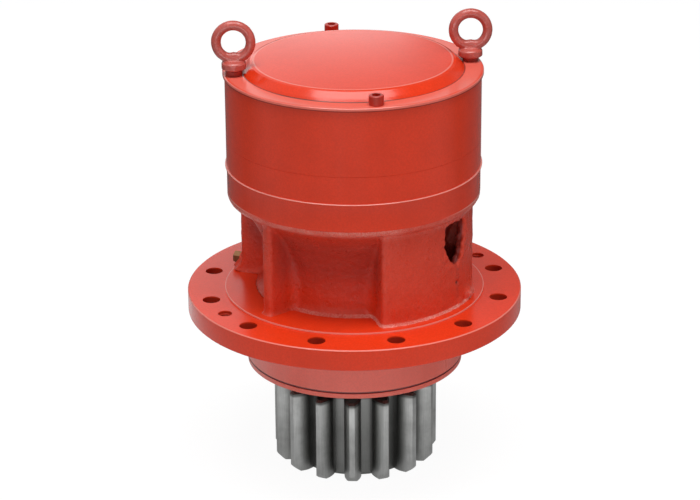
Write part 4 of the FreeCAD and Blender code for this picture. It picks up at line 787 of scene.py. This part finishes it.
# What the object mirrors of the studio, by the direction that a mirrored ray takes:
# from where to where on its axis, and the brightness at either end
SKY_DARKENS_UP = (0.30, 0.40, 1.0, 0.30)
SKY_BRIGHT_LEFT = (-0.065, -0.02, 0.80, 0.0)
SKY_DIM_HORIZON = (0.15, 0.28, 0.25, 1.0)
SKY_DIM_RIGHT = (0.02, 0.06, 1.0, 0.4)
SKY_LIGHT = 0.20

# What the object mirrors of the floor, by the place on it: in metres, then the brightness at either end
FLOOR_NEAR = (0.62, 0.78, 1.0, 0.0)
FLOOR_TO_BACK = (-0.3, 0.3, 0.62, 0.16)
FLOOR_FRONT = (-0.3, -0.1, 1.0, 0.0)
FLOOR_LEFT = (-0.36, -0.20, 1.0, 0.0)
FLOOR_RIGHT = (0.22, 0.42, 0.0, 0.45)
FLOOR_HALF = 4.0
PAPER_LIT = (0.45, 0.45, 0.45)
PAPER_SEEN = (0.90, 0.90, 0.90)
PAPER_GLOW = 1.05
PAPER_GLOW_SHARE = 0.90
PAPER_ROUGHNESS = 0.9


def make_camera():
    """The camera of the photograph, turned about its own axis by its roll."""
    forward = Vector((0.0, math.cos(CAMERA_PITCH), math.sin(CAMERA_PITCH)))
    right = Vector((1.0, 0.0, 0.0))
    up = right.cross(forward)
    across = right * math.cos(CAMERA_ROLL) + up * math.sin(CAMERA_ROLL)
    tall = up * math.cos(CAMERA_ROLL) - right * math.sin(CAMERA_ROLL)
    data = bpy.data.cameras.new("camera")
    data.lens = CAMERA_LENS
    data.sensor_width = CAMERA_SENSOR
    camera = bpy.data.objects.new("camera", data)
    camera.matrix_world = Matrix((across, tall, -forward)).transposed().to_4x4()
    camera.location = CAMERA_PLACE
    bpy.context.scene.collection.objects.link(camera)
    bpy.context.scene.camera = camera


def make_lamp(name, place, aim, size, power):
    """A flat lamp that faces its aim."""
    data = bpy.data.lights.new(name, "AREA")
    data.shape = "RECTANGLE"
    data.size, data.size_y = size
    data.energy = power
    lamp = bpy.data.objects.new(name, data)
    lamp.location = place
    lamp.rotation_euler = (Vector(aim) - Vector(place)).to_track_quat("-Z", "Y").to_euler()
    bpy.context.scene.collection.objects.link(lamp)


def make_world():
    """Plain white where it is seen; the object mirrors it darker in places, and is lit by little of it."""
    world = bpy.data.worlds.new("studio")
    bpy.context.scene.world = world
    world.use_nodes = True
    tree = world.node_tree
    background = tree.nodes["Background"]
    towards = split_of(tree, "Generated")
    mirrored = range_of(tree, towards["Z"], *SKY_DARKENS_UP)
    mirrored = math_of(tree, "MAXIMUM", mirrored, range_of(tree, towards["X"], *SKY_BRIGHT_LEFT))
    mirrored = math_of(tree, "MULTIPLY", mirrored, range_of(tree, towards["Z"], *SKY_DIM_HORIZON))
    mirrored = math_of(tree, "MULTIPLY", mirrored, range_of(tree, towards["X"], *SKY_DIM_RIGHT))
    path = tree.nodes.new("ShaderNodeLightPath")
    shown = math_of(tree, "MULTIPLY", path.outputs["Is Glossy Ray"], mirrored)
    shown = math_of(tree, "MAXIMUM", shown, path.outputs["Is Camera Ray"])
    shown = math_of(tree, "MAXIMUM", shown, path.outputs["Is Transmission Ray"])
    background.inputs["Color"].default_value = (1.0, 1.0, 1.0, 1.0)
    tree.links.new(math_of(tree, "MAXIMUM", shown, SKY_LIGHT), background.inputs["Strength"])


def make_paper():
    """Pale paper: white in the picture, greyer for the light that it throws on the object."""
    material, tree, shader = new_material("floor_paper")
    shader.inputs["Roughness"].default_value = PAPER_ROUGHNESS
    shader.inputs["Specular IOR Level"].default_value = 0.0
    path = tree.nodes.new("ShaderNodeLightPath")
    grey = mix_of(tree, path.outputs["Is Camera Ray"], PAPER_LIT, PAPER_SEEN)
    tree.links.new(grey, shader.inputs["Base Color"])
    place = split_of(tree, "Object")
    near = range_of(tree, along_of(tree, "radius"), *FLOOR_NEAR)
    front = math_of(tree, "MULTIPLY", near, range_of(tree, place["Y"], *FLOOR_FRONT))
    aside = math_of(tree, "MAXIMUM", range_of(tree, place["X"], *FLOOR_LEFT),
                    range_of(tree, place["X"], *FLOOR_RIGHT))
    mirrored = math_of(tree, "MAXIMUM", range_of(tree, place["Y"], *FLOOR_TO_BACK), front)
    mirrored = math_of(tree, "MAXIMUM", mirrored, math_of(tree, "MULTIPLY", aside, near))
    seen = math_of(tree, "MULTIPLY", path.outputs["Is Camera Ray"], PAPER_GLOW)
    share = math_of(tree, "MULTIPLY", path.outputs["Is Camera Ray"], PAPER_GLOW_SHARE)
    glow = tree.nodes.new("ShaderNodeEmission")
    mix = tree.nodes.new("ShaderNodeMixShader")
    tree.links.new(math_of(tree, "MAXIMUM", seen, mirrored), glow.inputs["Strength"])
    tree.links.new(math_of(tree, "MAXIMUM", share, path.outputs["Is Glossy Ray"]), mix.inputs["Fac"])
    tree.links.new(shader.outputs["BSDF"], mix.inputs[1])
    tree.links.new(glow.outputs["Emission"], mix.inputs[2])
    tree.links.new(mix.outputs["Shader"], tree.nodes["Material Output"].inputs["Surface"])
    return material


def make_floor():
    """A square sheet of paper under the pinion, which belongs to the studio and not to the object."""
    mesh = bpy.data.meshes.new("floor")
    corners = [(-FLOOR_HALF, -FLOOR_HALF, FLOOR_Z), (FLOOR_HALF, -FLOOR_HALF, FLOOR_Z),
               (FLOOR_HALF, FLOOR_HALF, FLOOR_Z), (-FLOOR_HALF, FLOOR_HALF, FLOOR_Z)]
    mesh.from_pydata(corners, [], [(0, 1, 2, 3)])
    mesh.materials.append(make_paper())
    floor = bpy.data.objects.new("floor", mesh)
    bpy.context.scene.collection.objects.link(floor)


make_camera()
make_world()
make_floor()
for lamp_settings in LAMPS:
    make_lamp(*lamp_settings)

bpy.context.scene.view_settings.view_transform = "Standard"
